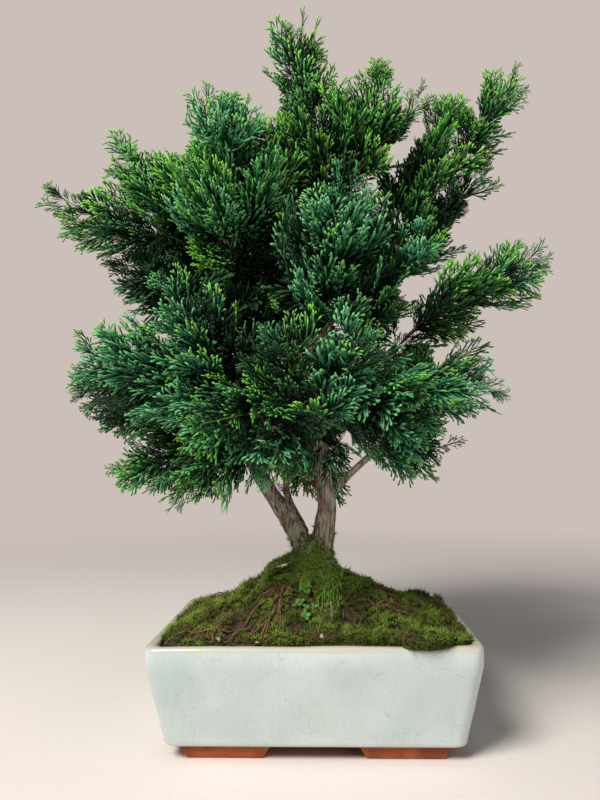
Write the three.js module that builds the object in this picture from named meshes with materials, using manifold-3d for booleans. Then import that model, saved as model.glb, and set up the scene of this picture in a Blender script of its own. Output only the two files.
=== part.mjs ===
// Hinoki cypress bonsai growing in a glazed rectangular pot.
// Millimetres, +Z up, the front of the tree faces -Y.
// The model is drawn about the middle of the pot's feet and moved at the end, so that its
// origin is the bottom centre of the whole object.

import * as THREE from 'three';
import { mergeVertices } from 'three/addons/utils/BufferGeometryUtils.js';
import Module from 'manifold-3d';

const wasm = await Module();
wasm.setup();
const { Manifold, Mesh } = wasm;

// ---------------------------------------------------------------- driving dimensions

const GAP = 0.35; // clearance between pieces that touch on the real object
const WOOD_GAP = 0.45; // the same, round the curved wood

const POT = {
  width: 242, // along X, over the rim
  depth: 166, // along Y, over the rim
  height: 82,
  corner: 10, // radius of the upright corners
  wall: 8,
  floorThickness: 8,
  footHeight: 10,
  footInsetX: 21.5, // from the rim's outline to the top of a foot
  footInsetY: 16,
  footLengthX: 69,
  footLengthY: 50,
  footWidth: 26,
  footSlantX: 6.8, // how far a foot's sides lean in from top to bottom
  footSlantY: 2.5,
  drainRadius: 7,
  drainOffset: 52, // of each drain hole from the middle, along X
};

const SCREEN = { side: 26, thickness: 0.8, holes: 3, holeSide: 5, pitch: 7.5 };

const MOUND = {
  edge: 83.5, // height of the moss at the rim
  rise: 35, // from the rim to the foot of the trunk
  reachLeft: 80,
  reachRight: 66,
  reachY: 52,
  sideDip: 4.5, // how far the moss sinks below its edge height at the short sides
  sideDipWidth: 16,
  steepness: 3,
  mossThickness: 6,
  columns: 13,
  rows: 9,
};

// The moss that has crept over the rim: its middle along X, and its half sizes.
const RIM_CUSHION = { at: 80, inside: 4, above: 2.5, halfLength: 20, halfWidth: 9, halfHeight: 5 };

// The joint between two moss patches, and how it wanders on its way out.
const MOSS_JOINT = { half: 0.5, wander: 0.05, waveLength: 14, stations: [2, 35, 70, 105] };

const PAD = {
  sides: 8,
  rings: 6,
  lump: 0.1,
  twigReach: 0.35, // how far into a pad its twig runs, as a share of the pad's line
  twigBend: 0.4,
  twigRadius: 1.5,
  twigSides: 4,
};

// ---------------------------------------------------------------- solids and meshes

/** Makes a manifold solid from a closed three.js geometry. */
function solidFrom(geometry) {
  const bare = new THREE.BufferGeometry();
  bare.setAttribute('position', geometry.getAttribute('position'));
  bare.setIndex(geometry.getIndex());
  const merged = mergeVertices(bare, 1e-4);
  return new Manifold(new Mesh({
    numProp: 3,
    vertProperties: new Float32Array(merged.getAttribute('position').array),
    triVerts: new Uint32Array(merged.getIndex().array),
  }));
}

/** Gives a manifold solid back as a three.js geometry. */
function geometryFrom(solid) {
  const mesh = solid.getMesh();
  const geometry = new THREE.BufferGeometry();
  geometry.setAttribute('position', new THREE.BufferAttribute(mesh.vertProperties, 3));
  geometry.setIndex(new THREE.BufferAttribute(mesh.triVerts, 1));
  return geometry.toNonIndexed();
}

/** Moves every vertex of a geometry by a function of its position. */
function reshape(geometry, move) {
  const position = geometry.getAttribute('position');
  const point = new THREE.Vector3();
  for (let i = 0; i < position.count; i += 1) {
    point.fromBufferAttribute(position, i);
    move(point);
    position.setXYZ(i, point.x, point.y, point.z);
  }
  return geometry;
}

/** Joins a list of solids. */
function joined(solids) {
  return solids.reduce((all, solid) => all.add(solid));
}

/** Keeps only the largest of the bodies that a cut has left. */
function largestBody(solid) {
  const bodies = solid.decompose();
  return bodies.reduce((best, body) => (body.volume() > best.volume() ? body : best));
}

/** Cuts a tool out of a solid, when the two meet. */
function cutBy(solid, tool) {
  if (solid.intersect(tool).volume() < 1e-6) {
    return solid;
  }
  return largestBody(solid.subtract(tool));
}

const vector = (xyz) => new THREE.Vector3(...xyz);

/** A smooth curve through a list of points. */
const curveThrough = (points) => new THREE.CatmullRomCurve3(points.map(vector), false, 'centripetal');

// ---------------------------------------------------------------- pot

/** An outline with rounded corners, centred on the origin. */
function roundedRectangle(width, depth, radius) {
  const x = width / 2;
  const y = depth / 2;
  const shape = new THREE.Shape();
  shape.moveTo(x - radius, -y);
  shape.absarc(x - radius, radius - y, radius, -Math.PI / 2, 0, false);
  shape.absarc(x - radius, y - radius, radius, 0, Math.PI / 2, false);
  shape.absarc(radius - x, y - radius, radius, Math.PI / 2, Math.PI, false);
  shape.absarc(radius - x, radius - y, radius, Math.PI, 1.5 * Math.PI, false);
  return shape;
}

/** A rounded box whose outline is drawn in by `inset` (`insetY` along Y) at each of its tiers. */
function tieredBox(width, depth, radius, tiers, curveSegments = 3) {
  const shape = roundedRectangle(width, depth, radius);
  const steps = tiers.length - 1;
  const geometry = new THREE.ExtrudeGeometry(shape, {
    depth: steps, steps, bevelEnabled: false, curveSegments,
  });
  return solidFrom(reshape(geometry, (point) => {
    const tier = tiers[Math.round(point.z)];
    point.x -= Math.sign(point.x) * tier.inset;
    point.y -= Math.sign(point.y) * (tier.insetY ?? tier.inset);
    point.z = tier.z;
  }));
}

const potBottom = POT.footHeight;
const potFloor = potBottom + POT.floorThickness;

/** The pot's outside, with its slight fullness under the rim, grown by a clearance. */
function potOutside(grow = 0) {
  return tieredBox(POT.width, POT.depth, POT.corner, [
    { z: potBottom - grow, inset: 13.5 - grow },
    { z: potBottom + 2, inset: 12 - grow },
    { z: POT.height - 16, inset: 0.7 - grow },
    { z: POT.height - 10, inset: -grow },
    { z: POT.height - 3, inset: -grow },
    { z: POT.height - 0.8 + grow, inset: 0.8 - grow },
    { z: POT.height + grow, inset: 2.6 - grow },
  ]);
}

/** The space inside the pot, drawn in by a clearance and carried up to a given height. */
function potInside(clearance, top) {
  const wall = POT.wall + clearance;
  return tieredBox(POT.width, POT.depth, POT.corner, [
    { z: potFloor + clearance, inset: wall + 12.6 },
    { z: potFloor + 2 + clearance, inset: wall + 11.6 },
    { z: POT.height - 14, inset: wall + 0.6 },
    { z: POT.height - 3, inset: wall },
    { z: POT.height - 0.7, inset: wall - 0.8 },
    { z: top, inset: wall - 2.4 },
  ]);
}

/** One L-shaped foot at the corner given by the signs of X and Y. */
function cornerFoot(signX, signY) {
  const tiers = [
    { z: 0, inset: POT.footSlantX, insetY: POT.footSlantY },
    { z: potBottom + 1, inset: 0 },
  ];
  const outerX = POT.width / 2 - POT.footInsetX;
  const outerY = POT.depth / 2 - POT.footInsetY;
  const legs = [
    [POT.footLengthX, POT.footWidth],
    [POT.footWidth, POT.footLengthY],
  ];
  return joined(legs.map(([lengthX, lengthY]) => tieredBox(lengthX, lengthY, 3, tiers, 1).translate([
    signX * (outerX - lengthX / 2),
    signY * (outerY - lengthY / 2),
    0,
  ])));
}

function makePot() {
  const feet = [[-1, -1], [1, -1], [1, 1], [-1, 1]].map(([x, y]) => cornerFoot(x, y));
  let pot = joined([potOutside(), ...feet]).subtract(potInside(0, POT.height + 1));
  for (const side of [-1, 1]) {
    const hole = new THREE.CylinderGeometry(POT.drainRadius, POT.drainRadius, 20, 14);
    hole.rotateX(Math.PI / 2);
    hole.translate(side * POT.drainOffset, 0, potFloor - POT.floorThickness / 2);
    pot = pot.subtract(solidFrom(hole));
  }
  return pot;
}

/** The plastic screen that keeps the soil from washing out of a drain hole. */
function makeDrainScreen(side) {
  const first = -((SCREEN.holes - 1) / 2) * SCREEN.pitch;
  let screen = solidFrom(new THREE.BoxGeometry(SCREEN.side, SCREEN.side, SCREEN.thickness));
  for (let i = 0; i < SCREEN.holes; i += 1) {
    for (let j = 0; j < SCREEN.holes; j += 1) {
      const hole = new THREE.BoxGeometry(SCREEN.holeSide, SCREEN.holeSide, 2 * SCREEN.thickness);
      hole.translate(first + i * SCREEN.pitch, first + j * SCREEN.pitch, 0);
      screen = screen.subtract(solidFrom(hole));
    }
  }
  return screen.translate([side * POT.drainOffset, 0, potFloor + GAP + SCREEN.thickness / 2]);
}

// ---------------------------------------------------------------- soil and moss

/** Height of the moss surface over a point of the pot. */
function mossHeight(x, y) {
  const reachX = x < 0 ? MOUND.reachLeft : MOUND.reachRight;
  const distance = Math.hypot(x / reachX, y / MOUND.reachY);
  const mound = MOUND.rise * Math.exp(-(distance ** MOUND.steepness));
  const toSide = POT.width / 2 - POT.wall - Math.abs(x);
  const dip = MOUND.sideDip * (1 - THREE.MathUtils.smoothstep(toSide, 0, MOUND.sideDipWidth));
  const lumps = Math.sin(x / 9 + 1) * Math.cos(y / 8) + 0.7 * Math.sin(x / 5 - y / 6);
  return MOUND.edge + mound + lumps - dip;
}

/** Ground under the moss mound, as a block whose top follows the mound, lifted by `lift`. */
function groundBlock(lift) {
  const bottom = potFloor - 10;
  const geometry = new THREE.BoxGeometry(
    POT.width, POT.depth, 1, MOUND.columns, MOUND.rows, 1,
  );
  return solidFrom(reshape(geometry, (point) => {
    point.z = point.z > 0 ? mossHeight(point.x, point.y) + lift : bottom;
  }));
}

/** The root ball and the soil heaped under the moss. */
function makeSoil(trunkSpace) {
  let soil = groundBlock(-MOUND.mossThickness).intersect(potInside(GAP, POT.height + 60));
  for (const side of [-1, 1]) {
    const width = SCREEN.side + 2 * GAP;
    const pocket = new THREE.BoxGeometry(width, width, 2 * (SCREEN.thickness + 2 * GAP));
    pocket.translate(side * POT.drainOffset, 0, potFloor);
    soil = soil.subtract(solidFrom(pocket));
  }
  return cutBy(soil, trunkSpace);
}

// Each moss patch is a sector about the foot of the trunk, between two compass angles in
// degrees (0 is the right side, 90 the back), apart from a narrow joint on each edge.
const MOSS_PATCHES = [
  { name: 'moss_right', from: -38, to: 32 },
  { name: 'moss_back_right', from: 32, to: 96 },
  { name: 'moss_back_left', from: 96, to: 152 },
  { name: 'moss_left', from: 152, to: 212 },
  { name: 'moss_front_left', from: 212, to: 262 },
  { name: 'moss_front_right', from: 262, to: 322 },
];

/** An upright prism over one sector of the pot, with wavy edges where patches meet. */
function sectorPrism({ from, to }) {
  const { half, wander, waveLength } = MOSS_JOINT;
  const stations = [...MOSS_JOINT.stations, POT.width];
  const shape = new THREE.Shape();
  const edgePoint = (degrees, distance, side) => {
    const heading = THREE.MathUtils.degToRad(degrees);
    const angle = heading + wander * Math.sin(distance / waveLength + heading);
    return [
      distance * Math.cos(angle) - side * half * Math.sin(angle),
      distance * Math.sin(angle) + side * half * Math.cos(angle),
    ];
  };
  stations.forEach((distance, i) => {
    const [x, y] = edgePoint(from, distance, 1);
    if (i === 0) {
      shape.moveTo(x, y);
    } else {
      shape.lineTo(x, y);
    }
  });
  [...stations].reverse().forEach((distance) => shape.lineTo(...edgePoint(to, distance, -1)));
  const depth = POT.height; // ample: from inside the pot to well over the mound
  const geometry = new THREE.ExtrudeGeometry(shape, { depth, bevelEnabled: false });
  geometry.translate(0, 0, 0.75 * POT.height);
  return solidFrom(geometry);
}

/** The moss that has crept over the rim at the front right. */
function rimCushion() {
  const { at, inside, above, halfLength, halfWidth, halfHeight } = RIM_CUSHION;
  const geometry = new THREE.SphereGeometry(1, 12, 8);
  geometry.scale(halfLength, halfWidth, halfHeight);
  geometry.translate(at, inside - POT.depth / 2, POT.height + above);
  return solidFrom(geometry).subtract(potOutside(GAP)).subtract(potInside(-3, POT.height + 1));
}

/** All moss patches, each one closed and clear of the soil, the pot and the trunk. */
function makeMoss(trunkSpace) {
  const layer = groundBlock(0)
    .subtract(groundBlock(GAP - MOUND.mossThickness))
    .intersect(potInside(GAP, POT.height + 60));
  return MOSS_PATCHES.map((patch) => {
    let moss = layer.intersect(sectorPrism(patch));
    if (patch.name === 'moss_front_right') {
      moss = moss.add(rimCushion().intersect(sectorPrism(patch)));
    }
    return { name: patch.name, solid: largestBody(cutBy(moss, trunkSpace)) };
  });
}

// ---------------------------------------------------------------- wood

/**
 * A tapering limb along a smooth curve.
 * `radii` are spread evenly along it, `oval` widens it across X, and `lobes` gives it the
 * fluted outline of an old trunk. `grow` swells it on every side, for clearance cuts.
 */
function limb({ curve, radii, sides = 8, steps = 8, oval = 1, lobes = 0 }, grow = 0) {
  const frames = curve.computeFrenetFrames(steps, false);
  const geometry = new THREE.CylinderGeometry(1, 1, 1, sides, steps);
  return solidFrom(reshape(geometry, (point) => {
    const along = THREE.MathUtils.clamp(0.5 - point.y, 0, 1);
    const step = Math.round(along * steps);
    const place = along * (radii.length - 1);
    const index = Math.min(Math.floor(place), radii.length - 2);
    const radius = THREE.MathUtils.lerp(radii[index], radii[index + 1], place - index);
    const angle = Math.atan2(point.z, point.x);
    const flute = 1 + lobes * Math.sin(3 * angle + 5 * along) + lobes * Math.sin(5 * angle);
    const reach = Math.hypot(point.x, point.z) * (radius * flute + grow);
    const offset = new THREE.Vector3()
      .addScaledVector(frames.normals[step], Math.cos(angle) * reach)
      .addScaledVector(frames.binormals[step], Math.sin(angle) * reach);
    offset.x *= oval;
    const capShift = (along === 1 ? 1 : 0) - (along === 0 ? 1 : 0);
    point.copy(curve.getPointAt(along)).add(offset)
      .addScaledVector(frames.tangents[step], capShift * grow);
  }));
}

// The trunk divides just above the moss into two stems that run up through the crown.
const LEFT_STEM = {
  curve: curveThrough([
    [-4, 0, 118], [-9, 0, 142], [-20, -2, 163], [-34, -4, 184], [-47, -6, 204],
    [-56, -6, 240], [-60, -2, 300], [-58, 2, 360], [-62, 4, 412],
  ]),
  radii: [10, 8.5, 7, 6.4, 5.8, 5, 4.2, 3.4, 2.4],
  sides: 9,
  steps: 12,
};
const RIGHT_STEM = {
  curve: curveThrough([
    [5, 0, 118], [7, 0, 142], [12, 0, 162], [12, 2, 184], [8, 4, 208],
    [4, 4, 260], [0, 2, 330], [-2, 2, 400], [0, 3, 460], [-5, 5, 552],
  ]),
  radii: [11, 8.6, 7.4, 7, 6.5, 6, 5, 4, 3, 1.8],
  sides: 9,
  steps: 15,
};
const TRUNK_FOOT = {
  curve: curveThrough([[2, 4, 82], [1, 2, 96], [0, 0, 112], [-2, 0, 128], [-2, 0, 147]]),
  radii: [26, 27, 21, 15, 11],
  sides: 14,
  steps: 6,
  oval: 1.22,
  lobes: 0.07,
};
const ROOT_POINTS = [
  [[-12, -4, 118], [-34, -14, 110], [-58, -24, 96], [-74, -30, 86]],
  [[-10, 10, 116], [-30, 30, 104], [-46, 44, 90]],
  [[8, 10, 114], [24, 30, 102], [40, 46, 88]],
  [[14, 0, 116], [38, 4, 106], [62, 10, 92], [76, 14, 84]],
  [[10, -10, 116], [22, -28, 104], [36, -44, 90]],
  [[-4, -12, 116], [-8, -32, 104], [-16, -48, 90]],
];
const ROOTS = ROOT_POINTS.map((points) => ({
  curve: curveThrough(points),
  radii: [9, 6, 4.5, 3],
  sides: 7,
  steps: 4,
}));
// A root that lifts clear of the mound on the left and comes down again.
const ARCHED_ROOT = {
  curve: curveThrough([
    [-12, -6, 132], [-24, -12, 132], [-36, -16, 126], [-42, -20, 112], [-44, -22, 98],
  ]),
  radii: [4.5, 3.8, 3.4, 3.4, 3],
  sides: 7,
  steps: 6,
};

/** The trunk with its roots and both stems, which grew as one piece. */
function makeTrunk(grow = 0) {
  const limbs = [TRUNK_FOOT, LEFT_STEM, RIGHT_STEM, ...ROOTS, ARCHED_ROOT];
  return joined(limbs.map((form) => limb(form, grow)));
}

/**
 * One foliage pad. It hangs on a twig that leaves its branch at `at` (0 is the stem, 1 the
 * branch's end), and runs from `base` to `tip`. `spread` is its size across that line in the
 * upright plane, and `depth` its size level with it.
 */
const pad = (name, at, base, tip, spread, depth) => ({ name, at, base, tip, spread, depth });

const BRANCHES = [
  {
    name: 'top_right',
    points: [[-1, 3, 430], [18, 0, 442], [34, -2, 456]],
    pads: [
      pad('top_centre', 0.5, [20, -14, 440], [9, -38, 530], 84, 78),
      pad('top_right', 1, [44, 1, 464], [68, -2, 558], 62, 78),
      pad('top_right_lobe', 0.8, [46, -28, 458], [104, -46, 512], 38, 55),
    ],
  },
  {
    name: 'upper_left',
    points: [[-61, 3, 388], [-76, 10, 410], [-100, 14, 428]],
    pads: [
      pad('upper_left_front', 0.3, [-56, -34, 374], [-58, -82, 498], 90, 76),
      pad('upper_left_rear', 0.6, [-76, 54, 480], [-108, 62, 586], 44, 62),
      pad('left_upper', 0.9, [-94, 10, 412], [-166, 8, 492], 78, 82),
      pad('left_arm', 1, [-116, 14, 398], [-250, 11, 468], 42, 64),
      pad('left_mid', 0.35, [-86, 28, 366], [-192, 40, 408], 82, 82),
    ],
  },
  {
    name: 'front_upper',
    points: [[1, 2, 296], [12, -34, 316], [24, -54, 328]],
    pads: [
      pad('centre_front_upper', 0.8, [16, -58, 330], [28, -114, 414], 82, 70),
      pad('centre_right_front', 1, [42, -56, 312], [78, -94, 388], 60, 64),
    ],
  },
  {
    name: 'right_upper',
    points: [[-1, 2, 338], [36, 10, 366], [72, 20, 392]],
    pads: [
      pad('right_upper', 0.9, [76, 22, 390], [130, 16, 548], 70, 80),
      pad('right_upper_tip', 1, [124, 14, 466], [197, 8, 562], 54, 58),
      pad('right_mid', 0.8, [70, 44, 372], [174, 52, 500], 66, 76),
    ],
  },
  {
    name: 'right_arm',
    points: [[4, 3, 256], [38, -2, 282], [72, -8, 302]],
    pads: [
      pad('right_arm', 1, [66, -8, 318], [209, -14, 389], 46, 72),
    ],
  },
  {
    name: 'right_low',
    points: [[13, 1, 180], [30, 4, 199], [52, 10, 219], [64, 16, 240]],
    pads: [
      pad('right_under', 0.8, [52, 22, 232], [126, 24, 218], 58, 76),
      pad('right_low', 0.9, [60, -24, 262], [158, -38, 266], 46, 68),
      pad('right_low_rear', 1, [84, 58, 284], [170, 88, 312], 58, 76),
    ],
  },
  {
    name: 'left_low',
    points: [[-54, -6, 230], [-64, -18, 252], [-76, -22, 266]],
    pads: [
      pad('left_low_front', 1, [-60, -56, 264], [-186, -62, 302], 66, 76),
      pad('left_low_upper', 0.8, [-58, -60, 282], [-112, -86, 348], 62, 62),
      pad('left_low_rear', 0.6, [-78, 34, 262], [-232, 38, 284], 62, 78),
      pad('left_bottom', 0.3, [-62, 4, 230], [-178, 8, 206], 60, 76),
    ],
  },
  {
    name: 'front_left',
    points: [[-47, -6, 202], [-44, -34, 226], [-36, -60, 242]],
    pads: [
      pad('bottom_left_front', 0.9, [-42, -60, 234], [-104, -80, 182], 56, 62),
      pad('front_low_left', 1, [-20, -78, 252], [-82, -124, 236], 58, 62),
      pad('front_low_centre', 0.8, [-10, -92, 250], [-30, -120, 198], 46, 48),
    ],
  },
  {
    name: 'front',
    points: [[8, 4, 206], [6, -30, 226], [2, -62, 242]],
    pads: [
      pad('front_centre', 1, [-8, -84, 244], [-16, -130, 320], 48, 50),
      pad('front_centre_right', 1, [4, -86, 252], [52, -122, 300], 58, 56),
      pad('front_hang_right', 0.9, [8, -66, 240], [24, -92, 186], 36, 42),
      pad('front_right_low', 0.7, [26, -68, 262], [84, -108, 242], 66, 68),
    ],
  },
  {
    name: 'rear_upper',
    points: [[-1, 2, 358], [-4, 40, 376], [-6, 72, 384]],
    pads: [
      pad('rear_top', 0.6, [-9, 60, 478], [-12, 98, 584], 78, 78),
      pad('rear_upper_left', 0.8, [-50, 74, 384], [-156, 130, 490], 102, 88),
      pad('rear_upper_right', 0.8, [40, 80, 374], [132, 138, 484], 96, 88),
      pad('rear_mid', 1, [-6, 96, 346], [-12, 168, 448], 110, 88),
    ],
  },
  {
    name: 'rear_low',
    points: [
      [-4, 8, 134], [-12, 16, 161], [-22, 20, 178], [-24, 28, 206], [-18, 46, 232], [-12, 64, 244],
    ],
    pads: [
      pad('rear_low_left', 0.9, [-50, 64, 252], [-158, 142, 302], 102, 82),
      pad('rear_low_right', 0.9, [38, 70, 252], [138, 142, 274], 100, 82),
      pad('rear_low_centre', 1, [-8, 80, 243], [-10, 166, 266], 102, 82),
    ],
  },
];
const BRANCH_RADII = [3.6, 2.8, 2];

// Two pads grow straight from the stems: the apex, and a small one inside on the left.
const STEM_PADS = [
  pad('apex', 0, [4, 6, 512], [-18, 4, 618], 62, 56),
  pad('inner_left', 0, [-62, -2, 318], [-58, -16, 392], 60, 60),
];

/** The twig that carries one pad, from its branch to a third of the way into the pad. */
function twigForm(branchCurve, { at, base, tip }) {
  const start = branchCurve.getPointAt(Math.min(at, 0.98));
  const end = vector(base).lerp(vector(tip), PAD.twigReach);
  const bend = start.clone().lerp(end, 0.5).lerp(vector(base), PAD.twigBend);
  return {
    curve: new THREE.QuadraticBezierCurve3(start, bend, end),
    radii: [PAD.twigRadius * 1.25, PAD.twigRadius, PAD.twigRadius * 0.7],
    sides: PAD.twigSides,
    steps: 3,
  };
}

/** One branch with its twigs, as one grown piece. */
function makeBranch(branch, grow = 0) {
  const curve = curveThrough(branch.points);
  const main = { curve, radii: BRANCH_RADII, sides: 6, steps: 2 * branch.points.length - 2 };
  const twigs = branch.pads.map((form) => twigForm(curve, form));
  return joined([main, ...twigs].map((form) => limb(form, grow)));
}

// ---------------------------------------------------------------- foliage pads

/** The directions and half sizes of a pad: along it, level across it, and upright across it. */
function padAxes({ base, tip, spread, depth }) {
  const along = vector(tip).sub(vector(base));
  const halfLength = along.length() / 2;
  along.normalize();
  const level = new THREE.Vector3(0, 1, 0).addScaledVector(along, -along.y).normalize();
  const upright = new THREE.Vector3().crossVectors(level, along);
  return {
    centre: vector(base).lerp(vector(tip), 0.5),
    directions: [along, level, upright],
    halves: [halfLength, depth / 2, spread / 2],
  };
}

/** A closed, softly lumped mass, full towards its tip and narrower where its twig enters. */
function makePadBody(pad, order) {
  const { centre, directions, halves } = padAxes(pad);
  const geometry = new THREE.SphereGeometry(1, PAD.sides, PAD.rings);
  return solidFrom(reshape(geometry, (point) => {
    const angle = Math.atan2(point.z, point.x);
    const along = point.y;
    const waves = Math.sin(3 * angle + 2.4 * order) + Math.sin(2 * angle + 3 * along + order);
    const lump = PAD.lump * waves;
    const fullness = (1.02 + 0.16 * along) * (1 + lump);
    const offset = new THREE.Vector3()
      .addScaledVector(directions[0], along * halves[0])
      .addScaledVector(directions[1], point.x * fullness * halves[1])
      .addScaledVector(directions[2], point.z * fullness * halves[2]);
    point.copy(centre).add(offset);
  }));
}

/** The matrix of a pad's squared half sizes in space. */
function padSpreadMatrix({ directions, halves }) {
  const elements = new Array(9).fill(0);
  directions.forEach((direction, k) => {
    const d = direction.toArray();
    for (let i = 0; i < 3; i += 1) {
      for (let j = 0; j < 3; j += 1) {
        elements[3 * i + j] += d[i] * d[j] * halves[k] ** 2;
      }
    }
  });
  return new THREE.Matrix3().fromArray(elements);
}

/** How far a pad reaches from its centre in a direction. */
function padReach({ directions, halves }, normal) {
  return Math.hypot(...directions.map((direction, k) => direction.dot(normal) * halves[k]));
}

/** Parts two pads that run into each other, on the plane that takes least from both. */
function trimPair(a, b) {
  const between = new THREE.Vector3().subVectors(b.axes.centre, a.axes.centre);
  const sum = new THREE.Matrix3();
  const spreadB = padSpreadMatrix(b.axes).elements;
  sum.elements = padSpreadMatrix(a.axes).elements.map((v, i) => v + spreadB[i]);
  const normal = between.clone().applyMatrix3(sum.invert()).normalize();
  const reachA = padReach(a.axes, normal);
  const reachB = padReach(b.axes, normal);
  const distance = between.dot(normal);
  if (a.body.intersect(b.body).volume() < 1e-6) {
    return;
  }
  const level = a.axes.centre.dot(normal) + (distance * reachA) / (reachA + reachB);
  const n = normal.toArray();
  a.body = a.body.trimByPlane(n.map((v) => -v), GAP / 2 - level);
  b.body = b.body.trimByPlane(n, level + GAP / 2);
}

/** Every foliage pad, parted from its neighbours and clear of the wood. */
function makePads(woodSpaces) {
  const forms = [...STEM_PADS, ...BRANCHES.flatMap((branch) => branch.pads)];
  const pads = forms.map((form, order) => ({
    name: form.name,
    axes: padAxes(form),
    body: makePadBody(form, order),
  }));
  pads.forEach((a, i) => pads.slice(i + 1).forEach((b) => trimPair(a, b)));
  return pads.map(({ name, body }) => ({
    name: `foliage_${name}`,
    solid: largestBody(woodSpaces.reduce(cutBy, body)),
  }));
}

// ---------------------------------------------------------------- assembly

const finishes = {
  glaze: { color: 0xd7decf, roughness: 0.25, metalness: 0 },
  screen: { color: 0x20211f, roughness: 0.6, metalness: 0 },
  soil: { color: 0x33261b, roughness: 0.95, metalness: 0 },
  moss: { color: 0x5f7c2c, roughness: 0.9, metalness: 0 },
  bark: { color: 0x6e5a4d, roughness: 0.85, metalness: 0 },
  foliage: { color: 0x2c6b4a, roughness: 0.6, metalness: 0 },
};

const tree = new THREE.Group();

function addPiece(name, solid, finish) {
  const mesh = new THREE.Mesh(geometryFrom(solid), new THREE.MeshStandardMaterial(finishes[finish]));
  mesh.name = name;
  tree.add(mesh);
}

addPiece('pot', makePot(), 'glaze');
addPiece('drain_screen_left', makeDrainScreen(-1), 'screen');
addPiece('drain_screen_right', makeDrainScreen(1), 'screen');

const trunk = makeTrunk();
const trunkSpace = makeTrunk(WOOD_GAP);
addPiece('soil', makeSoil(trunkSpace), 'soil');
makeMoss(trunkSpace).forEach(({ name, solid }) => addPiece(name, solid, 'moss'));
addPiece('trunk', trunk, 'bark');

const woodSpaces = [trunkSpace];
BRANCHES.forEach((branch) => {
  const body = woodSpaces.reduce(cutBy, makeBranch(branch));
  addPiece(`branch_${branch.name}`, body, 'bark');
  woodSpaces.push(makeBranch(branch, WOOD_GAP));
});
makePads(woodSpaces).forEach(({ name, solid }) => addPiece(name, solid, 'foliage'));

// The origin goes to the bottom centre of the whole object.
const bounds = new THREE.Box3().setFromObject(tree, true);
const middle = bounds.getCenter(new THREE.Vector3());
tree.position.set(-middle.x, -middle.y, -bounds.min.z);
tree.updateMatrixWorld(true);

export default tree;
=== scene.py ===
"""The finished look of a hinoki cypress bonsai in its glazed pot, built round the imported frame.

Lengths inside the classes are in millimetres, and a mesh is brought to metres when it is made.
"""

import logging
import math
from dataclasses import dataclass, field
from enum import Enum
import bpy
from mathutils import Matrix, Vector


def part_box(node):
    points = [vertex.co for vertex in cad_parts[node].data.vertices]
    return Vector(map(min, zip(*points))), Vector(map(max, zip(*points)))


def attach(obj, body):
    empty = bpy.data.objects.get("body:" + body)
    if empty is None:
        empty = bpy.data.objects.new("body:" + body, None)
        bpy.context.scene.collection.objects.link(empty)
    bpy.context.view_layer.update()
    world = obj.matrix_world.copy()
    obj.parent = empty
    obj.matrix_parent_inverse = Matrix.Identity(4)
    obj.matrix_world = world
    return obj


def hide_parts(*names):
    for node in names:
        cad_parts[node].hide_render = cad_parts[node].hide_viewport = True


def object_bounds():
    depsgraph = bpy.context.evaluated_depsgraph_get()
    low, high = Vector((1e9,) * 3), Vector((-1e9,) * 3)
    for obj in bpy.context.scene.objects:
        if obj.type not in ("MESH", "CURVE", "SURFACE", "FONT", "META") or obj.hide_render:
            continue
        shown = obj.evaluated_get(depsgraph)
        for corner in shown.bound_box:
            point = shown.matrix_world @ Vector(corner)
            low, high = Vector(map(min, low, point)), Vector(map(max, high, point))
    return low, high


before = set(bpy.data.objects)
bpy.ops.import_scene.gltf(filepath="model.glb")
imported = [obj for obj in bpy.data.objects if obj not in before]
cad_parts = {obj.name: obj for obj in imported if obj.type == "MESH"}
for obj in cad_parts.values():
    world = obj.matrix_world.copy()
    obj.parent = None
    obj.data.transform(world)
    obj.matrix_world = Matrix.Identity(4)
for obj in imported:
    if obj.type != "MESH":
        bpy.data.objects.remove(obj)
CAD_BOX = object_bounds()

from zlib import crc32

import bmesh
import bpy
import numpy as np
from bmesh.types import BMEdge, BMesh, BMFace, BMVert
from bpy.types import Material, Mesh, Node, NodeSocket, NodeTree, Object
from mathutils import Matrix, Vector, noise
from mathutils.bvhtree import BVHTree
from mathutils.kdtree import KDTree

LOG = logging.getLogger("bonsai")
METRES = 0.001
MERGE_DISTANCE = 0.01
BODY = "root"
UP = Vector((0.0, 0.0, 1.0))
UP_VECTOR = np.array(UP)
# Where the plant is looked at from, measured from the middle of the pot's underside.
EYE = np.array([12.8, -531.2, 213.9])
# The values that most of a cloudy pattern lies between, and those of its middle part.
CLOUD_RANGE = (0.3, 0.7)
NARROW_RANGE = (0.35, 0.65)
Colour = tuple[float, float, float]
Pair = tuple[float, float]
Triple = tuple[float, float, float]
Array = np.ndarray
Random = np.random.Generator


class Slot(Enum):
    """The record's material slots."""

    GLAZE = "glaze"
    SCREEN = "screen"
    SOIL = "soil"
    MOSS = "moss"
    BARK = "bark"
    FOLIAGE = "foliage"


# ---- helpers


def random_for(name: str) -> Random:
    """Gives a random source that depends only on a name.

    Args:
        name: What the numbers are for.

    Returns:
        A generator that gives the same numbers on each run.
    """
    return np.random.default_rng(crc32(name.encode()))


def node_mesh(name: str) -> BMesh:
    """Copies a CAD node's mesh, with its loose corners joined.

    Args:
        name: The node's name.

    Returns:
        A new bmesh, in millimetres.
    """
    bm = bmesh.new()
    bm.from_mesh(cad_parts[name].data)
    bmesh.ops.scale(bm, vec=(1 / METRES,) * 3, verts=bm.verts)
    bmesh.ops.remove_doubles(bm, verts=bm.verts, dist=MERGE_DISTANCE)
    return bm


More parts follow.
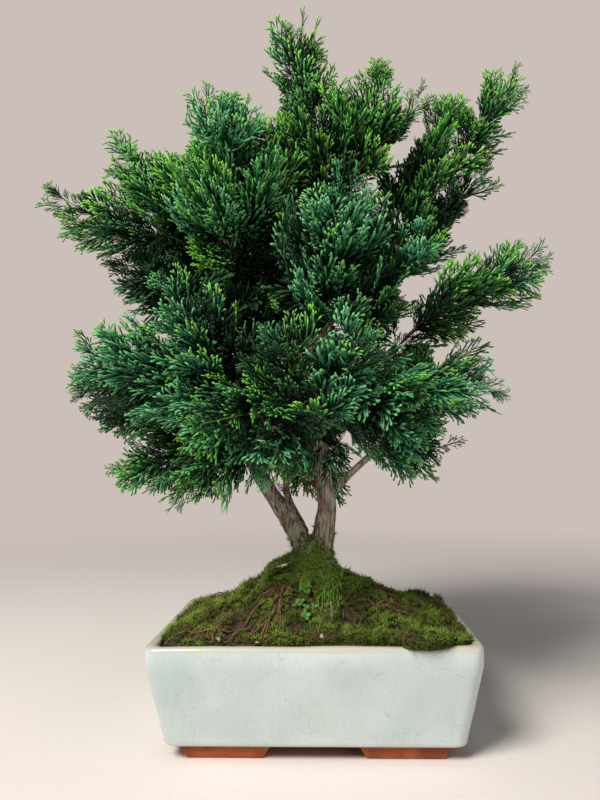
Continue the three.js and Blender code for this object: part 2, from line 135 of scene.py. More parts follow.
def node_triangles(name: str) -> Array:
    """Reads a CAD node's triangles.

    Args:
        name: The node's name.

    Returns:
        An array of triangles by corners by coordinates, in millimetres.
    """
    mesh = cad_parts[name].data
    mesh.calc_loop_triangles()
    points = np.empty(len(mesh.vertices) * 3, np.float32)
    mesh.vertices.foreach_get("co", points)
    corners = np.empty(len(mesh.loop_triangles) * 3, np.int32)
    mesh.loop_triangles.foreach_get("vertices", corners)
    return points.reshape(-1, 3)[corners].reshape(-1, 3, 3).astype(float) / METRES


def pot_middle() -> Array:
    """Gives the middle of the pot's underside, in metres."""
    low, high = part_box("pot")
    return np.array([(low.x + high.x) / 2, (low.y + high.y) / 2, 0.0])


def unit(vectors: Array) -> Array:
    """Scales vectors to length one, along the last axis."""
    return vectors / np.maximum(np.linalg.norm(vectors, axis=-1, keepdims=True), 1e-9)


def fade(value: float, low: float, high: float) -> float:
    """Rises smoothly from 0 at low to 1 at high."""
    t = min(max((value - low) / (high - low), 0.0), 1.0)
    return t * t * (3 - 2 * t)


def pushed(bm: BMesh, face: BMFace, keep: bool = False) -> BMFace:
    """Extrudes one face and gives the new one.

    Args:
        bm: The mesh that it is in.
        face: The face.
        keep: Whether the old face stays, to close the shape's start.

    Returns:
        The new face, still where the old one was.
    """
    grown = bmesh.ops.extrude_face_region(bm, geom=[face])["geom"]
    if not keep:
        bmesh.ops.delete(bm, geom=[face], context="FACES_ONLY")
    return next(g for g in grown if isinstance(g, BMFace))


def add_object(name: str, mesh: Mesh, material: Material | None) -> Object:
    """Links a mesh to the scene.

    Args:
        name: The new object's name.
        mesh: Its mesh, in metres.
        material: Its finish, or nothing for a form that isn't kept.

    Returns:
        The new object, at the origin.
    """
    mesh.materials.append(material)
    obj = bpy.data.objects.new(name, mesh)
    bpy.context.scene.collection.objects.link(obj)
    return obj


def add_piece(name: str, form: "BMesh | Copies", material: Material, slot: Slot, *nodes: str) -> Object:
    """Makes a form a piece of the plant.

    Args:
        name: The piece's name.
        form: Its form, in millimetres.
        material: Its finish.
        slot: The record's slot that the finish belongs to; not used.
        nodes: The CAD nodes that the piece stands for.

    Returns:
        The piece, which rides on the root body.
    """
    mesh = mesh_from_copies(name, form) if isinstance(form, Copies) else mesh_from_bmesh(form, name)
    piece = add_object(name, mesh, material)
    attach(piece, BODY)
    if nodes:
        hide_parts(*nodes)
    mesh.calc_loop_triangles()
    LOG.info("%s: %d triangles", name, len(mesh.loop_triangles))
    return piece


def applied(obj: Object) -> Mesh:
    """Gives a copy of an object's mesh with its modifiers applied."""
    return bpy.data.meshes.new_from_object(obj.evaluated_get(bpy.context.evaluated_depsgraph_get()))


def mesh_from_bmesh(bm: BMesh, name: str) -> Mesh:
    """Turns a bmesh in millimetres into a mesh in metres, and frees it.

    Args:
        bm: The bmesh.
        name: The mesh's name.

    Returns:
        The mesh.
    """
    bmesh.ops.scale(bm, vec=(METRES,) * 3, verts=bm.verts)
    for face in bm.faces:
        face.smooth = True
    mesh = bpy.data.meshes.new(name)
    bm.to_mesh(mesh)
    bm.free()
    return mesh


def mesh_from_copies(name: str, copies: "Copies") -> Mesh:
    """Makes one mesh of many placed copies.

    Args:
        name: The mesh's name.
        copies: The copies.

    Returns:
        The mesh, in metres, with the copies' values as attributes.
    """
    points = np.concatenate(copies.points) * METRES
    sizes = np.array([len(p) for p in copies.points])
    starts = np.concatenate([[0], np.cumsum(sizes)[:-1]])
    faces = np.concatenate([f + s for f, s in zip(copies.faces, starts)]).astype(np.int32)
    mesh = bpy.data.meshes.new(name)
    mesh.vertices.add(len(points))
    mesh.vertices.foreach_set("co", points.astype(np.float32).ravel())
    mesh.loops.add(3 * len(faces))
    mesh.polygons.add(len(faces))
    mesh.polygons.foreach_set("loop_start", np.arange(0, 3 * len(faces), 3, dtype=np.int32))
    mesh.polygons.foreach_set("vertices", faces.ravel())
    mesh.polygons.foreach_set("use_smooth", np.ones(len(faces), bool))
    for key, values in copies.values.items():
        attribute = mesh.attributes.new(key, "FLOAT", "POINT")
        attribute.data.foreach_set("value", np.concatenate(values).astype(np.float32))
    mesh.update(calc_edges=True)
    return mesh


@dataclass
class Pattern:
    """A small closed shape that is copied many times, in millimetres."""

    points: Array
    faces: Array
    fresh: Array

    @classmethod
    def from_bmesh(cls, bm: BMesh) -> "Pattern":
        """Reads a pattern from a bmesh with a vertex layer named fresh, and frees it."""
        bmesh.ops.triangulate(bm, faces=bm.faces)
        bm.verts.index_update()
        layer = bm.verts.layers.float["fresh"]
        points = np.array([v.co for v in bm.verts], float)
        faces = np.array([[v.index for v in f.verts] for f in bm.faces], np.int32)
        fresh = np.array([v[layer] for v in bm.verts], float)
        bm.free()
        return cls(points, faces, fresh)


@dataclass
class Copies:
    """Placed copies of patterns, gathered for one mesh."""

    points: list[Array] = field(default_factory=list)
    faces: list[Array] = field(default_factory=list)
    values: dict[str, list[Array]] = field(default_factory=dict)

    def add(self, points: Array, pattern: Pattern, **values: float) -> None:
        """Adds one copy.

        Args:
            points: The pattern's points where this copy has them.
            pattern: The pattern.
            values: One number each for this whole copy, kept as attributes.
        """
        self.points.append(points)
        self.faces.append(pattern.faces)
        self.values.setdefault("fresh", []).append(pattern.fresh)
        for key, value in values.items():
            self.values.setdefault(key, []).append(np.full(len(points), value))


# ---- shader helpers


class Nodes:
    """Adds nodes to one tree and joins them."""

    def __init__(self, tree: NodeTree) -> None:
        """Keeps the tree that the nodes go in."""
        self.tree = tree

    def add(self, kind: str, inputs: dict | None = None, **settings: object) -> Node:
        """Adds a node.

        Args:
            kind: The node's type name, without ShaderNode.
            inputs: Values or sockets for its inputs, by name or index.
            settings: The node's own settings.

        Returns:
            The node.
        """
        node = self.tree.nodes.new(kind if kind.startswith("Node") else f"ShaderNode{kind}")
        for key, value in settings.items():
            setattr(node, key, value)
        for key, value in (inputs or {}).items():
            if isinstance(value, NodeSocket):
                self.tree.links.new(value, node.inputs[key])
            else:
                node.inputs[key].default_value = value
        return node

    def attribute(self, name: str) -> NodeSocket:
        """Reads a number that is kept on the mesh."""
        return self.add("Attribute", attribute_name=name).outputs["Fac"]

    def place(self) -> NodeSocket:
        """Gives the object coordinates."""
        return self.add("TexCoord").outputs["Object"]

    def maths(self, operation: str, *values: object) -> NodeSocket:
        """Works out one number from others."""
        return self.add("Math", dict(enumerate(values)), operation=operation).outputs[0]

    def ramp(self, value: object, low: float, high: float, to_low: float = 0.0, to_high: float = 1.0
             ) -> NodeSocket:
        """Maps a number smoothly from one range to another."""
        inputs = {"Value": value, 1: low, 2: high, 3: to_low, 4: to_high}
        return self.add("MapRange", inputs, interpolation_type="SMOOTHSTEP").outputs[0]

    def mix(self, factor: object, first: object, second: object, blend: str = "MIX") -> NodeSocket:
        """Mixes two colours."""
        first, second = (c if isinstance(c, NodeSocket) else (*c, 1.0) for c in (first, second))
        node = self.add("Mix", {0: factor, 6: first, 7: second}, data_type="RGBA", blend_type=blend)
        return node.outputs[2]

    def shaded(self, colour: object, shade: object) -> NodeSocket:
        """Makes a colour darker or lighter by a number."""
        grey = self.add("CombineColor", {0: shade, 1: shade, 2: shade}).outputs[0]
        return self.mix(1.0, colour, grey, "MULTIPLY")

    def noise(self, place: object, size: float, detail: float = 3.0, rough: float = 0.5) -> NodeSocket:
        """Gives a cloudy pattern.

        Args:
            place: The coordinates, in metres.
            size: About how wide one cloud is, in millimetres.
            detail: How many finer layers it has.
            rough: How strong they are.

        Returns:
            The pattern's value, about 0.5.
        """
        inputs = {"Vector": place, "Scale": 1 / (size * METRES), "Detail": detail, "Roughness": rough}
        return self.add("TexNoise", inputs).outputs["Fac"]

    def bump(self, height: object, strength: float, depth: float) -> NodeSocket:
        """Makes a normal from a height that spans depth, in millimetres."""
        inputs = {"Height": height, "Strength": strength, "Distance": depth * METRES}
        return self.add("Bump", inputs).outputs["Normal"]

    def stretched(self, place: object, scale: Triple) -> NodeSocket:
        """Scales coordinates, so that a pattern on them is drawn out."""
        return self.add("Mapping", {"Vector": place, "Scale": scale}).outputs[0]


def new_material(name: str) -> tuple[Material, Nodes, Node]:
    """Makes a material with one Principled BSDF.

    Args:
        name: The material's name.

    Returns:
        The material, its nodes and the shader.
    """
    material = bpy.data.materials.new(name)
    material.use_nodes = True
    nodes = Nodes(material.node_tree)
    shader = material.node_tree.nodes["Principled BSDF"]
    return material, nodes, shader


def link(nodes: Nodes, shader: Node, **inputs: object) -> None:
    """Joins sockets to a shader, or sets its plain values.

    Args:
        nodes: The material's nodes.
        shader: The shader.
        inputs: Values by input name, with _ for a space.
    """
    for key, value in inputs.items():
        socket = shader.inputs[key.replace("_", " ")]
        if isinstance(value, NodeSocket):
            nodes.tree.links.new(value, socket)
        elif isinstance(value, tuple):
            socket.default_value = (*value, 1.0)
        else:
            socket.default_value = value


# ---- finishes


@dataclass(frozen=True)
class FoliageFinish:
    """Waxy green scale leaves, yellow-green at the young tips, with painted shade that makes them nearly
    black inside the crown and at each shoot's foot, and a painted highlight towards each shoot's end.

    A pair says where a colour comes in: along a shoot, from its foot at 0 to its tip at 1, or over the
    tones that sprays may have.
    """

    stalk: Colour = (0.040, 0.026, 0.012)
    # Near-black colour of the painted shade, at each shoot's foot and on fronds shaded inside the crown.
    painted_deep_shade: Colour = (0.003, 0.014, 0.004)
    body: Colour = (0.012, 0.110, 0.022)
    blue: Colour = (0.018, 0.150, 0.066)
    # Painted highlight colours towards the shoot ends, green and bluish.
    light: Colour = (0.125, 0.430, 0.070)
    painted_blue_highlight: Colour = (0.140, 0.440, 0.215)
    young: Colour = (0.200, 0.490, 0.035)
    stalk_end: Pair = (0.02, 0.12)
    green_from: Pair = (0.15, 0.68)
    light_from: Pair = (0.55, 0.95)
    young_from: Pair = (0.66, 0.92)
    blue_tones: Pair = (0.3, 0.8)
    blue_highlight_tones: Pair = (0.2, 0.9)
    most_light: float = 0.85
    most_dim: float = 0.92
    mottle_size: float = 1.6
    mottle_shades: Pair = (0.75, 1.2)
    roughness: Pair = (0.42, 0.6)
    gloss: float = 0.2
    grain_size: float = 0.9
    grain_relief: float = 0.2

    def material(self) -> Material:
        """Makes the material."""
        material, nodes, shader = new_material("foliage_scales")
        place = nodes.place()
        fresh, tone, young, dim = (nodes.attribute(name) for name in ("fresh", "tone", "young", "dim"))
        mottle = nodes.noise(place, self.mottle_size, 2.0)
        tinted = nodes.mix(nodes.ramp(tone, *self.blue_tones), self.body, self.blue)
        # Painted shade: each shoot is near-black at its foot and turns green along it.
        body = nodes.mix(nodes.ramp(fresh, *self.green_from), self.painted_deep_shade, tinted)
        pale = nodes.mix(nodes.ramp(tone, *self.blue_highlight_tones), self.light, self.painted_blue_highlight)
        # Painted highlight: the shoot's end is lightened towards the highlight colours.
        lit = nodes.mix(nodes.ramp(fresh, *self.light_from, 0.0, self.most_light), body, pale)
        tips = nodes.maths("MULTIPLY", nodes.ramp(fresh, *self.young_from), young)
        tipped = nodes.mix(tips, lit, self.young)
        stalked = nodes.mix(nodes.ramp(fresh, *self.stalk_end), self.stalk, tipped)
        # Painted shade: each frond's painted shade value darkens it towards near-black.
        dimmed = nodes.mix(nodes.ramp(dim, 0.0, 1.0, 0.0, self.most_dim), stalked, self.painted_deep_shade)
        colour = nodes.shaded(dimmed, nodes.ramp(mottle, *CLOUD_RANGE, *self.mottle_shades))
        rough = nodes.ramp(mottle, *CLOUD_RANGE, *self.roughness)
        grain = nodes.noise(place, self.grain_size, 1.0)
        link(nodes, shader, Base_Color=colour, Roughness=rough, Specular_IOR_Level=self.gloss,
             Normal=nodes.bump(grain, 0.4, self.grain_relief))
        return material


@dataclass(frozen=True)
class MossFinish:
    """Cushion moss, olive between the shoots and yellow-green on top."""

    under: Colour = (0.010, 0.011, 0.002)
    olive: Colour = (0.058, 0.064, 0.009)
    bright: Colour = (0.175, 0.275, 0.024)
    dry: Colour = (0.130, 0.080, 0.028)
    soil: Colour = (0.030, 0.018, 0.010)
    pale_soil: Colour = (0.085, 0.052, 0.030)
    name: str = "moss_shoots"
    bright_tones: Pair = (0.15, 0.85)
    dry_size: float = 13.0
    dry_from: Pair = (0.54, 0.66)
    lushness: float = 0.8
    tip_from: Pair = (0.05, 0.85)
    roughness: float = 0.8
    gloss: float = 0.25
    crumb_size: float = 3.0
    crumb_relief: float = 1.5
    bed_roughness: float = 0.95
    bed_gloss: float = 0.2

    def material(self) -> Material:
        """Makes the material."""
        material, nodes, shader = new_material(self.name)
        place = nodes.place()
        fresh, tone, young = (nodes.attribute(name) for name in ("fresh", "tone", "young"))
        green = nodes.mix(nodes.ramp(tone, *self.bright_tones), self.olive, self.bright)
        dried = nodes.ramp(nodes.noise(place, self.dry_size, 3.0), *self.dry_from)
        brown = nodes.mix(dried, green, self.dry)
        lush = nodes.mix(nodes.maths("MULTIPLY", young, self.lushness), brown, self.bright)
        colour = nodes.mix(nodes.ramp(fresh, *self.tip_from), self.under, lush)
        link(nodes, shader, Base_Color=colour, Roughness=self.roughness, Specular_IOR_Level=self.gloss)
        return material

    def bed_material(self) -> Material:
        """Makes the material of the ground between the shoots."""
        material, nodes, shader = new_material("moss_bed")
        place = nodes.place()
        crumbs = nodes.noise(place, self.crumb_size, 4.0, 0.65)
        soil = nodes.mix(nodes.ramp(crumbs, 0.35, 0.7), self.soil, self.pale_soil)
        green = nodes.mix(nodes.ramp(crumbs, *CLOUD_RANGE), self.under, self.olive)
        colour = nodes.mix(nodes.attribute("bare"), green, soil)
        link(nodes, shader, Base_Color=colour, Roughness=self.bed_roughness,
             Specular_IOR_Level=self.bed_gloss, Normal=nodes.bump(crumbs, 1.0, self.crumb_relief))
        return material


@dataclass(frozen=True)
class BarkFinish:
    """Fibrous grey-brown bark, reddish in its furrows, with moss low down."""

    ridge: Colour = (0.390, 0.345, 0.270)
    furrow: Colour = (0.046, 0.030, 0.018)
    red: Colour = (0.150, 0.075, 0.042)
    grey: Colour = (0.430, 0.395, 0.340)
    moss: Colour = (0.080, 0.140, 0.012)
    fibre_size: float = 1.6
    fibre_stretch: float = 0.12
    plate_size: float = 6.0
    plate_stretch: float = 0.3
    most_red: float = 0.5
    most_grey: float = 0.6
    moss_size: float = 5.0
    roughness: float = 0.85
    gloss: float = 0.3
    relief: float = 0.9

    def material(self) -> Material:
        """Makes the material."""
        material, nodes, shader = new_material("bark")
        place = nodes.place()
        along_fibres = nodes.stretched(place, (1.0, 1.0, self.fibre_stretch))
        along_plates = nodes.stretched(place, (1.0, 1.0, self.plate_stretch))
        fibres = nodes.noise(along_fibres, self.fibre_size, 4.0, 0.6)
        plates = nodes.noise(along_plates, self.plate_size, 3.0, 0.55)
        wood = nodes.mix(nodes.ramp(fibres, 0.36, 0.62), self.furrow, self.ridge)
        reddened = nodes.mix(nodes.ramp(plates, 0.5, 0.68, 0.0, self.most_red), wood, self.red)
        greyed = nodes.mix(nodes.ramp(plates, 0.46, 0.3, 0.0, self.most_grey), reddened, self.grey)
        patches = nodes.ramp(nodes.noise(place, self.moss_size), 0.25, 0.5)
        mossy = nodes.maths("MULTIPLY", nodes.attribute("mossy"), patches)
        colour = nodes.mix(mossy, greyed, self.moss)
        link(nodes, shader, Base_Color=colour, Roughness=self.roughness, Specular_IOR_Level=self.gloss,
             Normal=nodes.bump(fibres, 0.8, self.relief))
        return material


@dataclass(frozen=True)
class CrackNet:
    """A net of hairline cracks, by its cells in a metre, its drawing out, and a crack's share of a cell."""

    cells: float
    stretch: float
    width: float
    clouds: Pair
    strength: Pair

    def mask(self, nodes: Nodes, place: NodeSocket, spread: NodeSocket) -> NodeSocket:
        """Draws the net.

        Args:
            nodes: The material's nodes.
            place: The coordinates that the net follows.
            spread: A cloudy pattern that says where the net shows more.

        Returns:
            The net's mask, up to its strength on a crack.
        """
        inputs = {"Vector": nodes.stretched(place, (1.0, 1.0, self.stretch)), "Scale": self.cells}
        edges = nodes.add("TexVoronoi", inputs, feature="DISTANCE_TO_EDGE").outputs["Distance"]
        lines = nodes.ramp(edges, 0.0, self.width, 1.0, 0.0)
        return nodes.maths("MULTIPLY", lines, nodes.ramp(spread, *self.clouds, *self.strength))


@dataclass(frozen=True)
class GlazeFinish:
    """Pale mint glaze with a fine crackle, thin and creamy along the rim, where the cream is darkened partly
    as painted shade.
    """

    mint: Colour = (0.460, 0.535, 0.515)
    milk: Colour = (0.515, 0.580, 0.560)
    shade: Colour = (0.400, 0.485, 0.490)
    crack: Colour = (0.260, 0.290, 0.250)
    # Cream of the thin glaze on the rim, darkened partly as painted shade.
    cream_and_shade: Colour = (0.450, 0.415, 0.310)
    pit: Colour = (0.20, 0.16, 0.10)
    rim_height: float = 82.0
    rim_span: Pair = (-2.6, 1.6)
    rim_wander: float = 4.0
    sway: float = 7.0
    sway_cells: float = 60.0
    long_cracks: CrackNet = CrackNet(185.0, 0.22, 0.035, (0.35, 0.7), (0.16, 0.36))
    fine_cracks: CrackNet = CrackNet(400.0, 0.6, 0.06, (0.4, 0.65), (0.06, 0.20))
    spread_size: float = 30.0
    cloud_size: float = 45.0
    shade_size: float = 60.0
    pit_cells: float = 60.0
    pit_radius: Pair = (0.03, 0.06)
    pit_strength: float = 0.55
    roughness: float = 0.22
    coat: float = 0.35
    coat_roughness: float = 0.08
    relief: float = 1.2

    def crackle(self, nodes: Nodes, place: NodeSocket) -> NodeSocket:
        """Draws both nets of cracks on coordinates that wander a little."""
        inputs = {"Vector": place, "Scale": self.sway_cells, "Detail": 2.0}
        wander = nodes.add("TexNoise", inputs).outputs["Color"]
        reach = (self.sway * METRES,) * 3
        sway = nodes.add("VectorMath", {0: wander, 1: reach}, operation="MULTIPLY").outputs[0]
        moved = nodes.add("VectorMath", {0: place, 1: sway}, operation="ADD").outputs[0]
        spread = nodes.noise(place, self.spread_size, 2.0)
        nets = (net.mask(nodes, moved, spread) for net in (self.long_cracks, self.fine_cracks))
        return nodes.maths("MAXIMUM", *nets)

    def material(self) -> Material:
        """Makes the material."""
        material, nodes, shader = new_material("crackle_glaze")
        place = nodes.place()
        cracks = self.crackle(nodes, place)
        clouds = nodes.noise(place, self.cloud_size, 3.0)
        ground = nodes.mix(nodes.ramp(clouds, *NARROW_RANGE), self.mint, self.milk)
        shadows = nodes.ramp(nodes.noise(place, self.shade_size, 2.0), 0.58, 0.75, 0.0, 0.6)
        shaded = nodes.mix(shadows, ground, self.shade)
        crackled = nodes.mix(cracks, shaded, self.crack)
        height = nodes.add("SeparateXYZ", {0: place}).outputs["Z"]
        level = nodes.maths("ADD", height, nodes.maths("MULTIPLY", clouds, self.rim_wander * METRES))
        low, high = ((self.rim_height + edge) * METRES for edge in self.rim_span)
        # The rim band is cream where the glaze thins, darker partly as painted shade.
        rimmed = nodes.mix(nodes.ramp(level, low, high, 0.0, 0.85), crackled, self.cream_and_shade)
        pits = nodes.add("TexVoronoi", {"Vector": place, "Scale": self.pit_cells}).outputs["Distance"]
        pitted = nodes.mix(nodes.ramp(pits, *self.pit_radius, self.pit_strength, 0.0), rimmed, self.pit)
        swell = nodes.maths("MULTIPLY", clouds, 0.6)
        relief = nodes.maths("SUBTRACT", swell, nodes.maths("MULTIPLY", cracks, 0.2))
        link(nodes, shader, Base_Color=pitted, Roughness=self.roughness, Specular_IOR_Level=0.5,
             Coat_Weight=self.coat, Coat_Roughness=self.coat_roughness,
             Normal=nodes.bump(relief, 0.35, self.relief))
        return material


@dataclass(frozen=True)
class ClayFinish:
    """Bare terracotta, where the glaze was wiped off."""

    clay: Colour = (0.370, 0.100, 0.028)
    dark: Colour = (0.230, 0.058, 0.018)
    dust: Colour = (0.480, 0.210, 0.090)
    grit_size: float = 1.2
    cloud_size: float = 14.0
    most_dust: float = 0.45
    roughness: float = 0.85
    gloss: float = 0.3
    relief: float = 0.5

    def material(self) -> Material:
        """Makes the material."""
        material, nodes, shader = new_material("bare_clay")
        place = nodes.place()
        grit = nodes.noise(place, self.grit_size, 4.0, 0.7)
        cloud = nodes.noise(place, self.cloud_size, 3.0)
        colour = nodes.mix(nodes.ramp(cloud, *NARROW_RANGE), self.dark, self.clay)
        dusted = nodes.mix(nodes.ramp(grit, 0.55, 0.75, 0.0, self.most_dust), colour, self.dust)
        link(nodes, shader, Base_Color=dusted, Roughness=self.roughness, Specular_IOR_Level=self.gloss,
             Normal=nodes.bump(grit, 0.6, self.relief))
        return material


@dataclass(frozen=True)
class CrumbFinish:
    """Dark crumbs of soil, with the odd pale pebble."""

    dark: Colour = (0.016, 0.010, 0.006)
    brown: Colour = (0.110, 0.068, 0.040)
    pale: Colour = (0.300, 0.270, 0.220)
    pale_tones: Pair = (0.75, 0.9)
    grit_size: float = 1.0
    grit_shades: Pair = (0.6, 1.6)
    roughness: float = 0.9
    gloss: float = 0.2
    relief: float = 0.4

    def material(self) -> Material:
        """Makes the material."""
        material, nodes, shader = new_material("soil_grains")
        tone = nodes.attribute("tone")
        grit = nodes.noise(nodes.place(), self.grit_size, 3.0)
        light = nodes.maths("MULTIPLY", tone, nodes.ramp(grit, *CLOUD_RANGE, *self.grit_shades))
        brown = nodes.mix(light, self.dark, self.brown)
        colour = nodes.mix(nodes.ramp(tone, *self.pale_tones), brown, self.pale)
        link(nodes, shader, Base_Color=colour, Roughness=self.roughness, Specular_IOR_Level=self.gloss,
             Normal=nodes.bump(grit, 0.6, self.relief))
        return material


@dataclass(frozen=True)
class PlainFinish:
    """A rough material of two shades that drift into each other."""

    name: str
    dark: Colour
    light: Colour
    size: float
    roughness: float
    relief: float

    def material(self) -> Material:
        """Makes the material."""
        material, nodes, shader = new_material(self.name)
        grain = nodes.noise(nodes.place(), self.size, 4.0, 0.6)
        colour = nodes.mix(nodes.ramp(grain, *NARROW_RANGE), self.dark, self.light)
        link(nodes, shader, Base_Color=colour, Roughness=self.roughness,
             Normal=nodes.bump(grain, 0.7, self.relief))
        return material


# ---- pot


@dataclass
class Pot:
    """The glazed pot with its four bare corner feet."""

    corner: float = 10.0
    wall: float = 8.0
    floor_thickness: float = 8.0
    foot_height: float = 10.0
    foot_inset: Pair = (21.5, 16.0)
    foot_length_x: float = 69.0
    foot_length_y: float = 50.0
    foot_width: float = 26.0
    foot_slant: Pair = (6.8, 2.5)
    foot_sunk: float = 1.0
    foot_bevel: float = 1.1
    drain_radius: float = 7.0
    drain_offset: float = 52.0
    row_height: float = 4.0
    column_width: float = 6.0
    clay_line: float = 1.3
    wave_rise: float = 12.0

    def __post_init__(self) -> None:
        """Takes the pot's outer size and place from its CAD node."""
        low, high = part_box("pot")
        self.size = (high - low) / METRES
        self.middle = Vector(pot_middle()) / METRES

    def outside_tiers(self) -> list[Pair]:
        """Gives height and inset from the rim's outline, going up the outside."""
        top, bottom = self.size.z, self.foot_height
        return [
            (bottom, 13.5), (bottom + 0.8, 12.3), (bottom + 2.2, 11.4), (bottom + 4.5, 11.2),
            (top - 16, 0.7), (top - 10, 0.0), (top - 3, 0.0), (top - 1.6, 0.3), (top - 0.6, 1.1),
            (top - 0.1, 2.4), (top, 3.8),
        ]

    def inside_tiers(self) -> list[Pair]:
        """Gives height and inset, going down the inside."""
        top, floor = self.size.z, self.foot_height + self.floor_thickness
        return [
            (top - 0.1, self.wall - 2.6), (top - 0.9, self.wall - 0.9), (top - 3, self.wall),
            (top - 14, self.wall + 0.6), (floor + 2, self.wall + 11.6), (floor, self.wall + 12.6),
        ]

    def outline(self, bm: BMesh) -> BMFace:
        """Draws the rounded outline of the foot of the wall as one face."""
        bmesh.ops.create_grid(bm, x_segments=1, y_segments=1, size=0.5)
        bmesh.ops.scale(bm, vec=(self.size.x, self.size.y, 1), verts=bm.verts)
        bmesh.ops.bevel(bm, geom=bm.verts[:], offset=self.corner, segments=7, profile=0.5,
                        affect="VERTICES", material=-1)
        for edge in [e for e in bm.edges if e.calc_length() > 4 * self.column_width]:
            cuts = round(edge.calc_length() / self.column_width) - 1
            bmesh.ops.subdivide_edges(bm, edges=[edge], cuts=cuts)
        bm.faces.ensure_lookup_table()
        return bm.faces[0]

    def lean(self, value: float, size: float) -> float:
        """Tells how much of an inset a point of the outline takes up, with its sign."""
        return min(max(value / (size / 2 - self.corner), -1.0), 1.0)

    def raise_wall(self, bm: BMesh, face: BMFace) -> None:
        """Carries the outline up the outside, over the rim and down the inside."""
        tiers = self.outside_tiers()
        steps = [tiers[0]]
        for low, high in zip(tiers, tiers[1:]):
            rows = max(1, round((high[0] - low[0]) / self.row_height))
            steps += [tuple(np.array(low) + (np.array(high) - low) * r / rows) for r in range(1, rows + 1)]
        steps += self.inside_tiers()
        outline = [tuple(v.co.xy) for v in face.verts]
        for order, (height, inset) in enumerate(steps):
            if order:
                face = pushed(bm, face, keep=order == 1)
            for vert, (x, y) in zip(face.verts, outline):
                in_x, in_y = inset * self.lean(x, self.size.x), inset * self.lean(y, self.size.y)
                vert.co = (x - in_x, y - in_y, height)

    def weather(self, bm: BMesh) -> None:
        """Gives the wall the slow unevenness of a thick hand-dipped glaze."""
        bm.normal_update()
        for vert in bm.verts:
            place = vert.co
            slow = noise.noise(place / 38.0) * 0.8 + noise.noise(place / 13.0) * 0.22
            wave = fade(place.z, self.foot_height, self.foot_height + self.wave_rise)
            vert.co = place + vert.normal * slow * wave

    def bore(self, body: Object) -> None:
        """Cuts the drain holes through the floor."""
        bm = bmesh.new()
        for side in (-1, 1):
            at = Matrix.Translation(self.middle + Vector((side * self.drain_offset, 0, self.foot_height)))
            bmesh.ops.create_cone(bm, cap_ends=True, segments=32, radius1=self.drain_radius,
                                  radius2=self.drain_radius, depth=60, matrix=at)
        tool = add_object("drain_tool", mesh_from_bmesh(bm, "drain_tool"), body.data.materials[0])
        cut = body.modifiers.new("drain", "BOOLEAN")
        cut.object = tool
        cut.solver = "EXACT"
        bored = applied(body)
        body.modifiers.clear()
        body.data = bored
        bpy.data.objects.remove(tool)

    def foot(self, side_x: int, side_y: int) -> BMesh:
        """Makes one foot, an L round the pot's corner that leans in towards the ground."""
        bm = bmesh.new()
        height = self.foot_height + self.foot_sunk
        size = (self.foot_length_x, self.foot_width, height)
        bmesh.ops.create_cube(bm, size=1.0, matrix=Matrix.Diagonal((*size, 1.0)))
        seam = self.foot_length_x / 2 - self.foot_width
        bmesh.ops.bisect_plane(bm, geom=bm.verts[:] + bm.edges[:] + bm.faces[:], plane_co=(seam, 0, 0),
                               plane_no=(1, 0, 0))
        bm.normal_update()
        inner = next(f for f in bm.faces if f.normal.y < -0.9 and f.calc_center_median().x > seam)
        leg = pushed(bm, inner)
        bmesh.ops.translate(bm, vec=(0, self.foot_width - self.foot_length_y, 0), verts=leg.verts)
        bmesh.ops.recalc_face_normals(bm, faces=bm.faces)
        bm.normal_update()
        for vert in [v for v in bm.verts if v.co.z < 0]:
            sides = {tuple(round(n) for n in f.normal) for f in vert.link_faces if abs(f.normal.z) < 0.5}
            for side in sides:
                vert.co -= Vector((side[0] * self.foot_slant[0], side[1] * self.foot_slant[1], 0))
        sharp = [e for e in bm.edges if e.calc_face_angle(0) > 0.3]
        bmesh.ops.bevel(bm, geom=sharp, offset=self.foot_bevel, segments=2, profile=0.5,
                        affect="EDGES", material=-1)
        bmesh.ops.subdivide_edges(bm, edges=[e for e in bm.edges if e.calc_length() > 8], cuts=3,
                                  use_grid_fill=True)
        half = Vector((self.foot_length_x, self.foot_width, 0)) / 2
        corner = Vector((self.size.x, self.size.y, 0)) / 2 - Vector((*self.foot_inset, 0)) - half
        bmesh.ops.translate(bm, vec=corner + UP * height / 2, verts=bm.verts)
        bmesh.ops.scale(bm, vec=(side_x, side_y, 1), verts=bm.verts)
        bmesh.ops.recalc_face_normals(bm, faces=bm.faces)
        for vert in bm.verts:
            if vert.co.z > 1.5:
                vert.co += vert.normal * noise.noise(vert.co / 9.0) * 0.4
        bmesh.ops.translate(bm, vec=self.middle, verts=bm.verts)
        return bm

    def build(self) -> None:
        """Makes the pot's wall and its feet."""
        glaze, clay = GlazeFinish(rim_height=self.size.z).material(), ClayFinish().material()
        bm = bmesh.new()
        self.raise_wall(bm, self.outline(bm))
        bmesh.ops.recalc_face_normals(bm, faces=bm.faces)
        self.weather(bm)
        for face in bm.faces:
            face.material_index = int(face.calc_center_median().z < self.foot_height + self.clay_line)
        bmesh.ops.translate(bm, vec=self.middle, verts=bm.verts)
        body = add_piece("pot_glazed", bm, glaze, Slot.GLAZE, "pot")
        body.data.materials.append(clay)
        self.bore(body)
        feet = bmesh.new()
        for side_x, side_y in ((-1, -1), (1, -1), (1, 1), (-1, 1)):
            part = mesh_from_bmesh(self.foot(side_x, side_y), "foot")
            part.transform(Matrix.Scale(1 / METRES, 4))
            feet.from_mesh(part)
            bpy.data.meshes.remove(part)
        add_piece("pot_feet", feet, clay, Slot.GLAZE, "pot")


# ---- moss


MOSS_NODES = (
    "moss_right", "moss_back_right", "moss_back_left", "moss_left", "moss_front_left", "moss_front_right",
)


